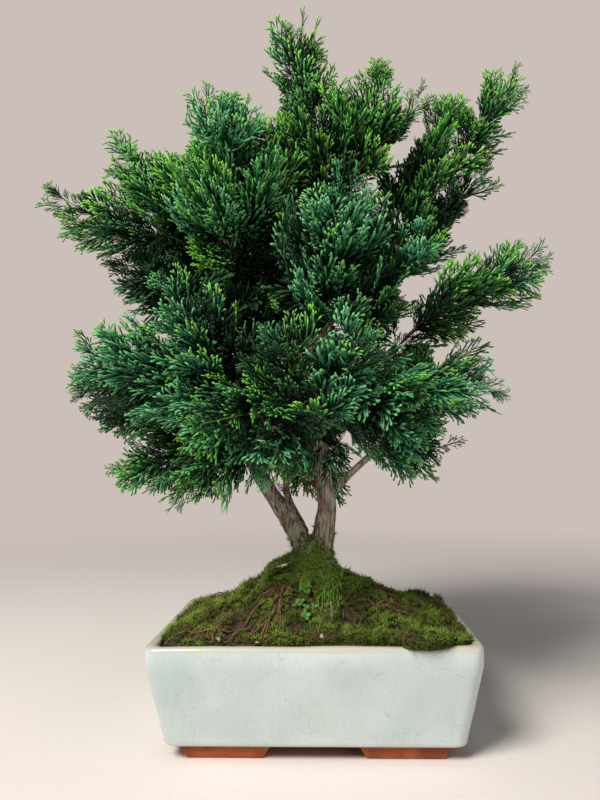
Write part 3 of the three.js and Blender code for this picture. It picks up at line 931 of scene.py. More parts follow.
@dataclass
class Moss:
    """Cushions of moss over the soil, and moss that climbs the foot of the trunk."""

    leaflets: int = 5
    leaflet_length: float = 4.6
    leaflet_radius: float = 0.5
    tuft_area: float = 6.6
    cushion_count: int = 190
    cushion_radius: Pair = (6.0, 15.0)
    cushion_height: float = 5.6
    knob: Triple = (41.0, -4.0, 10.0)
    knob_height: float = 8.0
    overlap: float = 0.6
    joint_margin: float = 12.0
    level: float = 0.3
    mesh_step: float = 4.5
    rim_height: float = 78.0
    left_drop: float = 3.5
    bare_drop: float = 1.6
    tuft_young: float = 0.0

    def __post_init__(self) -> None:
        """Makes the tuft patterns and the cushions' places."""
        random = random_for("cushions")
        low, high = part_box("pot")
        self.reach = (np.array(high - low)[:2] / 2) / METRES
        self.middle = (np.array(high + low)[:2] / 2) / METRES
        self.centres = self.middle + random.uniform(-self.reach, self.reach, (self.cushion_count, 2))
        self.radii = random.uniform(*self.cushion_radius, self.cushion_count)
        self.tufts = [self.tuft(order) for order in range(5)]
        self.surfaces: list[BVHTree] = []

    def tuft(self, order: int) -> Pattern:
        """Makes one star of pointed leaflets.

        Args:
            order: Which of the patterns this is.

        Returns:
            The pattern, standing on the origin.
        """
        random = random_for(f"tuft {order}")
        bm = bmesh.new()
        layer = bm.verts.layers.float.new("fresh")
        for leaf in range(self.leaflets + 1):
            lean = 0.0 if leaf == self.leaflets else random.uniform(0.45, 0.95)
            length = self.leaflet_length * random.uniform(0.75, 1.15) * (1.15 if lean == 0 else 1.0)
            heading = 2 * math.pi * leaf / self.leaflets + random.uniform(-0.4, 0.4)
            turn = Matrix.Rotation(heading, 4, "Z") @ Matrix.Rotation(lean, 4, "Y")
            made = bmesh.ops.create_cone(bm, cap_ends=True, segments=3, radius1=self.leaflet_radius,
                                         radius2=0.0, depth=length,
                                         matrix=turn @ Matrix.Translation((0, 0, length / 2)))
            for vert in made["verts"]:
                vert[layer] = float((turn.inverted() @ vert.co).z > length / 2)
        return Pattern.from_bmesh(bm)

    def cushion(self, place: Vector) -> float:
        """Gives how high the cushions stand at a place."""
        distance = np.linalg.norm(self.centres - (place.x, place.y), axis=1) / self.radii
        dome = np.sqrt(np.clip(1 - distance ** 2, 0, 1)) * self.radii / self.cushion_radius[1]
        x, y, radius = self.knob
        away = math.dist((place.x, place.y), self.middle + (x, y)) / radius
        knob = self.knob_height * math.sqrt(max(0.0, 1 - away ** 2))
        return max(float(dome.max()) * self.cushion_height, knob)

    def rim_distance(self, place: Vector) -> float:
        """Gives how far inside the pot's outline a place is."""
        return float((self.reach - abs(np.array(place)[:2] - self.middle)).min())

    def bareness(self, place: Vector) -> float:
        """Tells how bare the ground is at a place, from 0 to 1."""
        x, y = np.array(place)[:2] - self.middle
        drift = noise.noise(place / 15.0 + Vector((3.1, 0.7, 5.2)))
        drift += 0.16 * fade(-x, 0.0, 40.0) * fade(-y, 25.0, 60.0) - 0.08 * fade(x, 20.0, 50.0)
        return fade(drift, 0.16, 0.34) * max(fade(self.rim_distance(place), 6.0, 16.0), fade(-x, 20.0, 40.0))

    def bed(self, node: str) -> BMesh:
        """Makes the cushioned ground of one patch."""
        bm = node_mesh(node)
        bmesh.ops.triangulate(bm, faces=bm.faces)
        for _ in range(2):
            long = [e for e in bm.edges if e.calc_length() > self.mesh_step]
            bmesh.ops.subdivide_edges(bm, edges=long, cuts=1, use_grid_fill=True)
            bmesh.ops.triangulate(bm, faces=bm.faces)
        bm.normal_update()
        for vert in bm.verts:
            wall = [f.normal for f in vert.link_faces if abs(f.normal.z) < self.level]
            if wall and self.rim_distance(vert.co) > self.joint_margin:
                out = Vector((sum(n.x for n in wall), sum(n.y for n in wall), 0)).normalized()
                vert.co += out * self.overlap
        inside = [v for v in bm.verts if all(f.normal.z > self.level for f in v.link_faces)]
        for _ in range(4):
            bmesh.ops.smooth_vert(bm, verts=inside, factor=0.5, use_axis_z=True)
        bm.normal_update()
        bare = bm.verts.layers.float.new("bare")
        for vert in bm.verts:
            facing = float(any(f.normal.z > self.level for f in vert.link_faces))
            vert[bare] = self.bareness(vert.co)
            lift = self.cushion(vert.co) * (1 - vert[bare]) - self.bare_drop * vert[bare]
            if vert.co.x < self.middle[0]:
                lift -= self.left_drop * (1 - fade(self.rim_distance(vert.co), 6.0, 22.0))
            rough = noise.noise(vert.co / 4.0) * 1.0 + noise.noise(vert.co / 9.0) * 1.6
            vert.co += UP * (lift + rough) * facing
        return bm

    def scatter(self, bm: BMesh, copies: Copies, random: Random) -> None:
        """Plants tufts over the upper faces of a bed.

        Args:
            bm: The bed.
            copies: Where the tufts are gathered.
            random: The random source.
        """
        for face in bm.faces:
            middle = face.calc_center_median()
            steepest = 0.12 if self.rim_distance(middle) > 9 else -0.4
            if face.normal.z < steepest or middle.z < self.rim_height:
                continue
            count = random.poisson(face.calc_area() / self.tuft_area)
            corners = [v.co for v in face.verts[:3]]
            for _ in range(count):
                a, b = sorted(random.uniform(0, 1, 2))
                place = corners[0] * a + corners[1] * (b - a) + corners[2] * (1 - b)
                bare = self.bareness(place)
                if random.uniform() < bare:
                    continue
                lean = (face.normal + UP * 0.5 + Vector(random.normal(0, 0.25, 3))).normalized()
                spin = Matrix.Rotation(random.uniform(0, 6.3), 3, "Z")
                turn = lean.to_track_quat("Z", "Y").to_matrix() @ spin
                scale = random.uniform(0.5, 1.3) * (1 - 0.4 * bare)
                tuft = self.tufts[random.integers(len(self.tufts))]
                points = tuft.points * scale @ np.array(turn).T + np.array(place - face.normal * 0.6)
                patch = 0.2 + 0.8 * noise.noise(place / 22.0) + 0.5 * noise.noise(place / 7.0)
                patch += 0.55 * min(self.cushion(place) / self.cushion_height, 1.0) + random.normal(0, 0.15)
                young = self.tuft_young * random.uniform(0.3, 1)
                copies.add(points, tuft, tone=min(max(patch, 0), 1), young=young)

    def build(self) -> None:
        """Makes each patch's bed and its shoots."""
        finish = MossFinish()
        shoots, ground = finish.material(), finish.bed_material()
        for node in MOSS_NODES:
            bm = self.bed(node)
            self.surfaces.append(BVHTree.FromBMesh(bm))
            copies = Copies()
            self.scatter(bm, copies, random_for(node))
            add_piece(f"{node}_bed", bm, ground, Slot.MOSS, node)
            add_piece(f"{node}_shoots", copies, shoots, Slot.MOSS)


# ---- what grows and lies on the moss


@dataclass(frozen=True)
class Patch:
    """A stretch of ground, by its middle and half sizes from the middle of the pot's underside."""

    middle: Pair
    half: Pair
    count: int

    def places(self, random: Random) -> Array:
        """Gives places spread over the patch."""
        return np.array(self.middle) + random.uniform(-1, 1, (self.count, 2)) * self.half


@dataclass
class GroundCover:
    """Bare roots, clover, grass, a dead twig and crumbs of soil, all seated on the moss."""

    moss: Moss
    root_patches: tuple[Patch, ...] = (
        Patch((-66.0, -58.0), (20.0, 16.0), 16), Patch((-32.0, -44.0), (12.0, 20.0), 16),
        Patch((4.0, -66.0), (20.0, 9.0), 7), Patch((44.0, -20.0), (12.0, 18.0), 7),
        Patch((70.0, 30.0), (35.0, 25.0), 7), Patch((-60.0, 35.0), (35.0, 25.0), 8),
    )
    root_steps: int = 6
    root_arch: Pair = (1.2, 2.4)
    root_length: Pair = (14.0, 34.0)
    root_radii: Pair = (0.95, 0.45)
    clover_patch: Patch = Patch((-5.0, -50.0), (10.0, 22.0), 9)
    clover_radius: Pair = (1.3, 2.2)
    grass_patch: Patch = Patch((6.0, -34.0), (17.0, 22.0), 70)
    grass_length: Pair = (8.0, 17.0)
    crumb_patch: Patch = Patch((0.0, 0.0), (112.0, 76.0), 900)
    crumb_radius: Pair = (0.5, 1.5)
    pebbles: tuple[Triple, ...] = (
        (-68, -72, 1.9), (7, -75, 1.6), (62, -60, 1.6), (-40, -74, 1.6),
    )
    twig_place: Pair = (14.0, -62.0)
    twig_line: tuple[Triple, ...] = (
        (0.0, 0.0, -1.0), (0.4, -1.0, 8.0), (-0.6, -2.0, 17.0),
    )
    twig_radii: Pair = (1.1, 0.7)

    def ground(self, x: float, y: float) -> Vector | None:
        """Finds the top of the moss bed at a place, or nothing beside it."""
        hits = [tree.ray_cast(Vector((x, y, 300.0)), -UP)[0] for tree in self.moss.surfaces]
        return max((hit for hit in hits if hit is not None), key=lambda hit: hit.z, default=None)

    def line(self, start: Vector, heading: float, length: float, random: Random) -> list[Vector]:
        """Draws a wandering line over the moss, a little proud of it.

        Args:
            start: Its first point.
            heading: The direction that it sets out in.
            length: Its length.
            random: The random source.

        Returns:
            Its points, fewer where the moss ends.
        """
        points = [start]
        low, arch = self.root_arch
        for step in range(self.root_steps):
            heading += random.normal(0, 0.18)
            ahead = points[-1] + Vector((math.cos(heading), math.sin(heading), 0)) * length / self.root_steps
            seat = self.ground(ahead.x, ahead.y)
            if seat is None:
                break
            points.append(seat + UP * (low + arch * math.sin(math.pi * (step + 1) / (self.root_steps + 1))))
        return points

    def roots(self) -> BMesh:
        """Makes the bare root strands."""
        random = random_for("roots")
        bm = bmesh.new()
        middle = self.moss.middle
        for patch in self.root_patches:
            for x, y in patch.places(random) + middle:
                seat = self.ground(x, y)
                downhill = math.atan2(y - middle[1], x - middle[0]) + random.normal(0, 0.5)
                size = random.uniform(0.6, 1.2)
                if seat is not None:
                    points = self.line(seat, downhill, random.uniform(*self.root_length) * size, random)
                    if len(points) > 3:
                        sweep(bm, points, tuple(r * size for r in self.root_radii), 5)
        return bm

    def clover(self) -> Copies:
        """Makes small plants of three round leaves each."""
        random = random_for("clover")
        copies = Copies()
        bm = bmesh.new()
        layer = bm.verts.layers.float.new("fresh")
        bmesh.ops.create_uvsphere(bm, u_segments=8, v_segments=4, radius=1.0,
                                  matrix=Matrix.Diagonal((1.0, 1.15, 0.16, 1.0)))
        for vert in bm.verts:
            vert[layer] = 0.6 + 0.4 * math.hypot(vert.co.x, vert.co.y)
        leaf = Pattern.from_bmesh(bm)
        for x, y in self.clover_patch.places(random) + self.moss.middle:
            seat = self.ground(x, y)
            if seat is None:
                continue
            lean = Vector((*random.normal(0, 0.3, 2) - (0, 0.8), 1.0)).normalized()
            turn = lean.to_track_quat("Z", "Y").to_matrix()
            radius = random.uniform(*self.clover_radius)
            for third in range(3):
                around = Matrix.Rotation(2 * math.pi * third / 3 + x, 3, "Z") @ Matrix.Rotation(0.25, 3, "X")
                points = (leaf.points * radius + (0, radius * 1.1, 0)) @ np.array(turn @ around).T
                copies.add(points + np.array(seat + UP * 4.4), leaf)
        return copies

    def grass(self) -> BMesh:
        """Makes bent blades of grass."""
        random = random_for("grass")
        bm = bmesh.new()
        for x, y in self.grass_patch.places(random) + self.moss.middle:
            seat = self.ground(x, y)
            if seat is None:
                continue
            length = random.uniform(*self.grass_length)
            lean = Vector((*random.normal(0, 0.35, 2), 0)) - Vector((0, 0.2, 0))
            shares = np.linspace(-0.1, 1, 5)
            line = [seat + (UP * (t - 0.25 * t * t) + lean * t * t) * length for t in shares]
            sweep(bm, line, (0.5, 0.12), 3)
        return bm

    def crumbs(self) -> Copies:
        """Makes soil crumbs on the bare ground, and a few pebbles."""
        random = random_for("crumbs")
        copies = Copies()
        shapes = []
        for order in range(4):
            bm = bmesh.new()
            layer = bm.verts.layers.float.new("fresh")
            bmesh.ops.create_icosphere(bm, subdivisions=1, radius=1.0)
            for vert in bm.verts:
                vert.co *= 1 + 0.5 * noise.noise(vert.co * 1.3 + Vector((order * 7.0, 0, 0)))
                vert[layer] = 0.5
            shapes.append(Pattern.from_bmesh(bm))
        places = [(x, y, random.uniform(*self.crumb_radius)) for x, y in self.crumb_patch.places(random)]
        for x, y, radius in [*places, *self.pebbles]:
            seat = self.ground(x + self.moss.middle[0], y + self.moss.middle[1])
            pebble = radius > self.crumb_radius[1]
            if seat is None or not (pebble or self.moss.bareness(seat) > 0.3):
                continue
            shape = shapes[random.integers(len(shapes))]
            points = shape.points * radius * random.uniform(0.7, 1.2, 3) + np.array(seat + UP * radius * 0.4)
            copies.add(points, shape, tone=0.95 if pebble else random.uniform(0, 0.6))
        return copies

    def twig(self) -> BMesh:
        """Makes the dead twig that stands in the moss."""
        bm = bmesh.new()
        x, y = self.twig_place + self.moss.middle
        seat = self.ground(x, y)
        sweep(bm, [seat + Vector(step) for step in self.twig_line], self.twig_radii, 7)
        return bm

    def build(self) -> None:
        """Makes each piece."""
        root = PlainFinish("bare_root", (0.060, 0.024, 0.012), (0.190, 0.085, 0.042), 3.0, 0.8, 0.4)
        leaf = PlainFinish("clover_leaf", (0.030, 0.105, 0.013), (0.080, 0.215, 0.034), 2.0, 0.55, 0.1)
        blade = PlainFinish("grass_blade", (0.080, 0.200, 0.016), (0.190, 0.400, 0.034), 4.0, 0.55, 0.1)
        wood = PlainFinish("dead_wood", (0.090, 0.070, 0.055), (0.210, 0.180, 0.150), 2.0, 0.85, 0.5)
        add_piece("bare_roots", self.roots(), root.material(), Slot.BARK)
        add_piece("clover", self.clover(), leaf.material(), Slot.MOSS)
        add_piece("grass_blades", self.grass(), blade.material(), Slot.MOSS)
        add_piece("soil_crumbs", self.crumbs(), CrumbFinish().material(), Slot.SOIL)
        add_piece("dead_twig", self.twig(), wood.material(), Slot.BARK)


# ---- wood


BRANCH_NODES = (
    "branch_top_right", "branch_upper_left", "branch_front_upper", "branch_right_upper", "branch_right_arm",
    "branch_right_low", "branch_left_low", "branch_front_left", "branch_front", "branch_rear_upper",
    "branch_rear_low",
)


def sweep(bm: BMesh, line: list[Vector], radii: Pair, sides: int = 6) -> None:
    """Adds a closed tapering stem along a line.

    Args:
        bm: Where it is added.
        line: The points that its middle follows.
        radii: Its radius at the first and at the last point.
        sides: How many sides it has.
    """
    turns = []
    for order, point in enumerate(line):
        ahead = line[min(order + 1, len(line) - 1)] - line[max(order - 1, 0)]
        turn = turns[-1].to_3x3() if turns else Matrix.Identity(3)
        swing = (turn @ UP).rotation_difference(ahead.normalized()).to_matrix()
        radius = radii[0] + (radii[1] - radii[0]) * order / (len(line) - 1)
        turns.append(Matrix.Translation(point) @ (swing @ turn).to_4x4())
        if order == 0:
            made = bmesh.ops.create_circle(bm, cap_ends=True, segments=sides, radius=1.0)
            ring = made["verts"]
            edges = list({e for v in ring for e in v.link_edges})
        else:
            grown = bmesh.ops.extrude_edge_only(bm, edges=edges)["geom"]
            ring = [g for g in grown if isinstance(g, BMVert)]
            edges = [g for g in grown if isinstance(g, BMEdge)]
            edges = [e for e in edges if all(v in ring for v in e.verts)]
            bmesh.ops.transform(bm, matrix=(turns[-2] @ Matrix.Scale(previous, 4)).inverted(), verts=ring)
        bmesh.ops.transform(bm, matrix=turns[-1] @ Matrix.Scale(radius, 4), verts=ring)
        previous = radius
    bmesh.ops.contextual_create(bm, geom=edges)


@dataclass
class Wood:
    """The trunk with its bark, the branches, and the moss that climbs the trunk's foot."""

    voxel: float = 1.8
    moss_top: float = 160.0
    moss_full: float = 126.0
    flute: float = 0.9
    fibre: float = 0.5

    def bark_relief(self, bm: BMesh, strength: float) -> None:
        """Moves a surface in and out as fibrous bark does, and marks where moss grows on it.

        Args:
            bm: The wood.
            strength: The relief's share of the full one.
        """
        bm.normal_update()
        layer = bm.verts.layers.float.new("mossy")
        for vert in bm.verts:
            place = vert.co
            drawn = Vector((place.x, place.y, place.z * 0.14))
            relief = noise.noise(drawn / 5.5) * self.flute + noise.noise(drawn / 2.0) * self.fibre
            vert[layer] = fade(-place.z + 14 * noise.noise(place / 12.0), -self.moss_top, -self.moss_full)
            vert.co = place + vert.normal * relief * strength

    def trunk(self) -> BMesh:
        """Makes the trunk as one even skin over its stems and roots."""
        bm = node_mesh("trunk")
        rough = add_object("trunk_form", mesh_from_bmesh(bm, "trunk_form"), None)
        skin = rough.modifiers.new("skin", "REMESH")
        skin.mode = "VOXEL"
        skin.voxel_size = self.voxel * METRES
        mesh = applied(rough)
        bpy.data.objects.remove(rough)
        bm = bmesh.new()
        bm.from_mesh(mesh)
        bmesh.ops.scale(bm, vec=(1 / METRES,) * 3, verts=bm.verts)
        for _ in range(4):
            bmesh.ops.smooth_vert(bm, verts=bm.verts, factor=0.5,
                                  use_axis_x=True, use_axis_y=True, use_axis_z=True)
        self.bark_relief(bm, 1.0)
        return bm

    def branch(self, node: str) -> BMesh:
        """Makes one branch, rounder than its CAD form."""
        bm = node_mesh(node)
        bmesh.ops.triangulate(bm, faces=bm.faces)
        bmesh.ops.subdivide_edges(bm, edges=bm.edges[:], cuts=1, smooth=0.6, use_grid_fill=True)
        self.bark_relief(bm, 0.35)
        return bm

    def climbing_moss(self, trunk: BMesh, moss: Moss) -> Copies:
        """Plants the moss that climbs the foot of the trunk.

        Args:
            trunk: The trunk, with a vertex layer named mossy.
            moss: The moss that supplies the tufts.

        Returns:
            The tufts.
        """
        random = random_for("trunk moss")
        copies = Copies()
        layer = trunk.verts.layers.float["mossy"]
        for face in trunk.faces:
            mossy = sum(v[layer] for v in face.verts) / len(face.verts)
            place = face.calc_center_median()
            wanted = mossy * 0.95 * face.calc_area() / moss.tuft_area
            if random.uniform() < wanted and face.normal.z > -0.6:
                lean = (face.normal + UP * 0.4 + Vector(random.normal(0, 0.3, 3))).normalized()
                turn = lean.to_track_quat("Z", "Y").to_matrix()
                tuft = moss.tufts[random.integers(len(moss.tufts))]
                size = random.uniform(0.45, 1.05)
                points = tuft.points * size @ np.array(turn).T + np.array(place - face.normal * 0.5)
                # Tone and youth are set high here, which lightens these tufts partly as painted light.
                copies.add(points, tuft, tone=random.uniform(0.4, 1.0), young=random.uniform(0.7, 1.3))
        return copies

    def build(self, moss: Moss, crown: "Crown") -> None:
        """Makes the trunk, its moss and every branch.

        Args:
            moss: The moss that supplies the tufts.
            crown: The foliage, whose stalks are part of the branches.
        """
        bark = BarkFinish().material()
        trunk = self.trunk()
        copies = self.climbing_moss(trunk, moss)
        add_piece("trunk_bark", trunk, bark, Slot.BARK, "trunk")
        # A lighter copy of the moss finish for the climbing moss: partly its own brighter green, partly
        # painted light against the crown's shadow.
        olive, bright = (0.085, 0.120, 0.012), (0.240, 0.400, 0.030)
        finish = MossFinish(olive=olive, bright=bright, name="trunk_moss_painted_light")
        add_piece("trunk_moss", copies, finish.material(), Slot.MOSS)
        for node in BRANCH_NODES:
            bm = self.branch(node)
            crown.add_stalks(bm, node)
            add_piece(f"{node}_bark", bm, bark, Slot.BARK, node)


# ---- foliage


@dataclass(frozen=True)
class Shoot:
    """A smooth line in a frond's plane that carries spindles."""

    start: Array
    heading: float
    turn: float
    length: float
    rise: float

    def at(self, share: float) -> Array:
        """Gives the point a share of the way along."""
        steps = np.linspace(0, share, 5)
        angles = self.heading + self.turn * (steps[1:] + steps[:-1]) / 2
        pace = self.length * share / 4
        flat = np.array([np.sin(angles).sum(), np.cos(angles).sum()]) * pace
        return self.start + np.array([flat[0], flat[1], self.rise * self.length * share * share])

    def angle(self, share: float) -> float:
        """Gives the heading a share of the way along, from the frond's own line."""
        return self.heading + self.turn * share


@dataclass(frozen=True)
class FrondPattern:
    """How one size of frond branches, with its own line along Y and its upper face to Z."""

    length: float
    side_shoots: int
    finger_pitch: float
    reach: float = 0.5
    width: float = 2.3
    thickness: float = 1.35
    ring_pitch: float = 11.0
    bare: float = 0.2
    blunt: float = 0.88
    fingers: bool = True

    def strand(self, bm: BMesh, line: Shoot, rings: int, width: float, fresh: Pair) -> None:
        """Adds one closed strand along a line, flat above, keeled below and blunt at its end.

        Args:
            bm: Where it is added.
            line: The line.
            rings: How many rings it has between its two end points.
            width: How wide it is.
            fresh: How young the shoot is at both ends, which also sets the painted shade at its foot and the
                painted highlight at its end.
        """
        made = bmesh.ops.create_uvsphere(bm, u_segments=3, v_segments=rings + 1, radius=1.0)
        layer = bm.verts.layers.float["fresh"]
        for vert in made["verts"]:
            step = (1 - math.acos(max(-1.0, min(1.0, vert.co.z))) / math.pi) * (rings + 1)
            share = min(step / rings, 1.0) * self.blunt if step < rings + 0.5 else 1.0
            round_off = math.hypot(vert.co.x, vert.co.y)
            keel, side = (vert.co.x / round_off, vert.co.y / round_off) if round_off > 0.01 else (0.0, 0.0)
            angle = line.angle(share)
            half = width / 2 * (0.7 + 0.3 * share)
            point = line.at(share)
            vert.co = Vector((
                point[0] - math.cos(angle) * side * half,
                point[1] + math.sin(angle) * side * half,
                point[2] - keel * half * self.thickness / self.width,
            ))
            vert[layer] = fresh[0] + (fresh[1] - fresh[0]) * share

    def side_shoot(self, bm: BMesh, shoot: Shoot, share: float, side: int, random: Random) -> None:
        """Adds one side shoot and its fingers.

        Args:
            bm: Where it is added.
            shoot: Its line.
            share: How far up the frond it leaves.
            side: Which side of the frond it is on, -1 or 1.
            random: The random source.
        """
        # Besides the young tip, these values give each shoot painted shade at its foot and a painted
        # highlight at its end.
        low, high = 0.1 + 0.25 * share, 0.68 + 0.32 * share
        rings = max(1, min(3, round(shoot.length / self.ring_pitch)))
        self.strand(bm, shoot, rings, self.width, (low, high))
        if not self.fingers:
            return
        number = max(1, int(shoot.length * 0.8 / self.finger_pitch))
        for order in range(number):
            place = 0.2 + 0.68 * (order + random.uniform(0.1, 0.6)) / number
            hand = side if order % 2 == 0 else -side
            length = min(13.0, 5.5 + shoot.length * 0.32) * (1.15 - 0.5 * place) * random.uniform(0.8, 1.2)
            heading = shoot.angle(place) + hand * random.uniform(0.5, 0.8)
            rise = 0.5 * shoot.rise + random.uniform(-0.12, 0.12)
            finger = Shoot(shoot.at(place), heading, -hand * 0.5, length, rise)
            start = low + (high - low) * place * 0.7
            self.strand(bm, finger, 1, self.width * 0.95, (start, 0.25 + 0.75 * high))

    def grow(self, name: str) -> Pattern:
        """Grows one frond.

        Args:
            name: What seeds its small differences.

        Returns:
            The frond, from the origin along Y.
        """
        random = random_for(name)
        bm = bmesh.new()
        bm.verts.layers.float.new("fresh")
        sway = random.uniform(-0.12, 0.12)
        main = Shoot(np.zeros(3), -sway, 2 * sway, self.length, random.uniform(-0.04, 0.04))
        self.strand(bm, main, max(2, round(self.length / 16)), self.width * 1.1, (-0.3, 0.95))
        for order in range(self.side_shoots):
            step = (order + random.uniform(0.25, 0.75)) / self.side_shoots
            share = self.bare + (0.95 - self.bare) * step
            side = 1 if order % 2 == 0 else -1
            swell = math.sin(math.pi * min(1.0, 0.12 + 0.86 * share)) ** 0.6
            length = self.length * self.reach * (0.14 + 0.86 * swell) * random.uniform(0.82, 1.15)
            heading = main.angle(share) + side * random.uniform(0.55, 0.8) * (1 - 0.3 * share)
            turn = -side * random.uniform(0.2, 0.45)
            rise = random.uniform(-0.1, 0.14)
            self.side_shoot(bm, Shoot(main.at(share), heading, turn, length, rise), share, side, random)
        return Pattern.from_bmesh(bm)


@dataclass(frozen=True)
class Pad:
    """One mass of sprays: the branch that bears it and the line that it grows along."""

    name: str
    branch: str
    base: Triple
    tip: Triple
    curl: float = 0.5
    young: float = 0.4
    tone: float = 0.5
    # Extra painted shade for the pad's fronds; a negative value takes some away.
    dim: float = 0.0


# Places are from the middle of the pot's underside. Curl is upwards, or downwards if it is negative.
PADS = (
    Pad("apex", "trunk", (4, 6, 512), (-18, 4, 618), 0.9, 0.8, 0.15, dim=0.05),
    Pad("inner_left", "trunk", (-62, -2, 318), (-58, -16, 392), 0.5, 0.2),
    Pad("top_centre", "branch_top_right", (20, -14, 440), (9, -38, 530), 0.9, 0.7, 0.2, dim=0.1),
    Pad("top_right", "branch_top_right", (44, 1, 464), (68, -2, 558), 0.9, 0.9, 0.15, dim=0.1),
    Pad("top_right_lobe", "branch_top_right", (46, -28, 458), (104, -46, 512), 0.5, 1.0, 0.1, dim=0.1),
    Pad("upper_left_front", "branch_upper_left", (-56, -34, 374), (-58, -82, 498), 0.9, 0.65, 0.45,
        dim=-0.15),
    Pad("upper_left_rear", "branch_upper_left", (-76, 54, 480), (-108, 62, 586), 0.9, 0.7, 0.3),
    Pad("left_upper", "branch_upper_left", (-94, 10, 412), (-166, 8, 492), 0.8, 0.5, 0.5, dim=0.1),
    Pad("left_arm", "branch_upper_left", (-116, 14, 398), (-250, 11, 468), 0.7, 0.5, 0.3, dim=0.2),
    Pad("left_mid", "branch_upper_left", (-86, 28, 366), (-192, 40, 408), 0.1, 0.15, 0.6, dim=0.1),
    Pad("centre_front_upper", "branch_front_upper", (16, -58, 330), (28, -114, 414), 0.9, 0.45, 0.8,
        dim=-0.2),
    Pad("centre_right_front", "branch_front_upper", (42, -56, 312), (78, -94, 388), 0.7, 0.3, 0.7),
    Pad("right_upper", "branch_right_upper", (76, 22, 390), (130, 16, 548), 0.9, 0.6, 0.3, dim=-0.2),
    Pad("right_upper_tip", "branch_right_upper", (124, 14, 466), (197, 8, 562), 0.8, 0.8, 0.2),
    Pad("right_mid", "branch_right_upper", (70, 44, 372), (174, 52, 500), 0.7, 0.3, 0.6, dim=-0.15),
    Pad("right_arm", "branch_right_arm", (66, -8, 318), (209, -14, 389), 0.6, 0.75, 0.4, dim=0.2),
    Pad("right_under", "branch_right_low", (52, 22, 232), (126, 24, 218), -0.6, 0.25, 0.5),
    Pad("right_low", "branch_right_low", (60, -24, 262), (158, -38, 266), -0.2, 0.3, 0.9),
    Pad("right_low_rear", "branch_right_low", (84, 58, 284), (170, 88, 312), 0.1, 0.2, 0.7),
    Pad("left_low_front", "branch_left_low", (-60, -56, 264), (-186, -62, 302), 0.2, 0.4, 0.8, dim=0.1),
    Pad("left_low_upper", "branch_left_low", (-58, -60, 282), (-112, -86, 348), 0.6, 0.5, 0.8),
    Pad("left_low_rear", "branch_left_low", (-78, 34, 262), (-232, 38, 284), -0.2, 0.15, 0.5, dim=0.15),
    Pad("left_bottom", "branch_left_low", (-62, 4, 230), (-178, 8, 206), -0.6, 0.3, 0.5, dim=0.1),
    Pad("bottom_left_front", "branch_front_left", (-42, -60, 234), (-104, -80, 182), -0.7, 0.5, 0.5),
    Pad("front_low_left", "branch_front_left", (-20, -78, 252), (-82, -124, 236), -0.6, 0.5, 0.5, dim=-0.1),
    Pad("front_low_centre", "branch_front_left", (-10, -92, 250), (-30, -120, 198), -0.7, 0.4, 0.6, dim=0.1),
    Pad("front_centre", "branch_front", (-8, -84, 244), (-16, -130, 320), 0.6, 0.8, 0.4),
    Pad("front_centre_right", "branch_front", (4, -86, 252), (52, -122, 300), 0.3, 0.5, 0.8),
    Pad("front_hang_right", "branch_front", (8, -66, 240), (24, -92, 186), -0.8, 0.3, 0.9, dim=0.1),
    Pad("front_right_low", "branch_front", (26, -68, 262), (84, -108, 242), -0.6, 0.5, 0.6),
    Pad("rear_top", "branch_rear_upper", (-9, 60, 478), (-12, 98, 584), 0.9, 0.6, 0.4),
    Pad("rear_upper_left", "branch_rear_upper", (-50, 74, 384), (-156, 130, 490), 0.7, 0.5, 0.5),
    Pad("rear_upper_right", "branch_rear_upper", (40, 80, 374), (132, 138, 484), 0.7, 0.5, 0.5),
    Pad("rear_mid", "branch_rear_upper", (-6, 96, 346), (-12, 168, 448), 0.6, 0.4, 0.6),
    Pad("rear_low_left", "branch_rear_low", (-50, 64, 252), (-158, 142, 302), -0.1, 0.3, 0.5),
    Pad("rear_low_right", "branch_rear_low", (38, 70, 252), (138, 142, 274), -0.2, 0.3, 0.5),
    Pad("rear_low_centre", "branch_rear_low", (-8, 80, 243), (-10, 166, 266), -0.4, 0.3, 0.5),
)


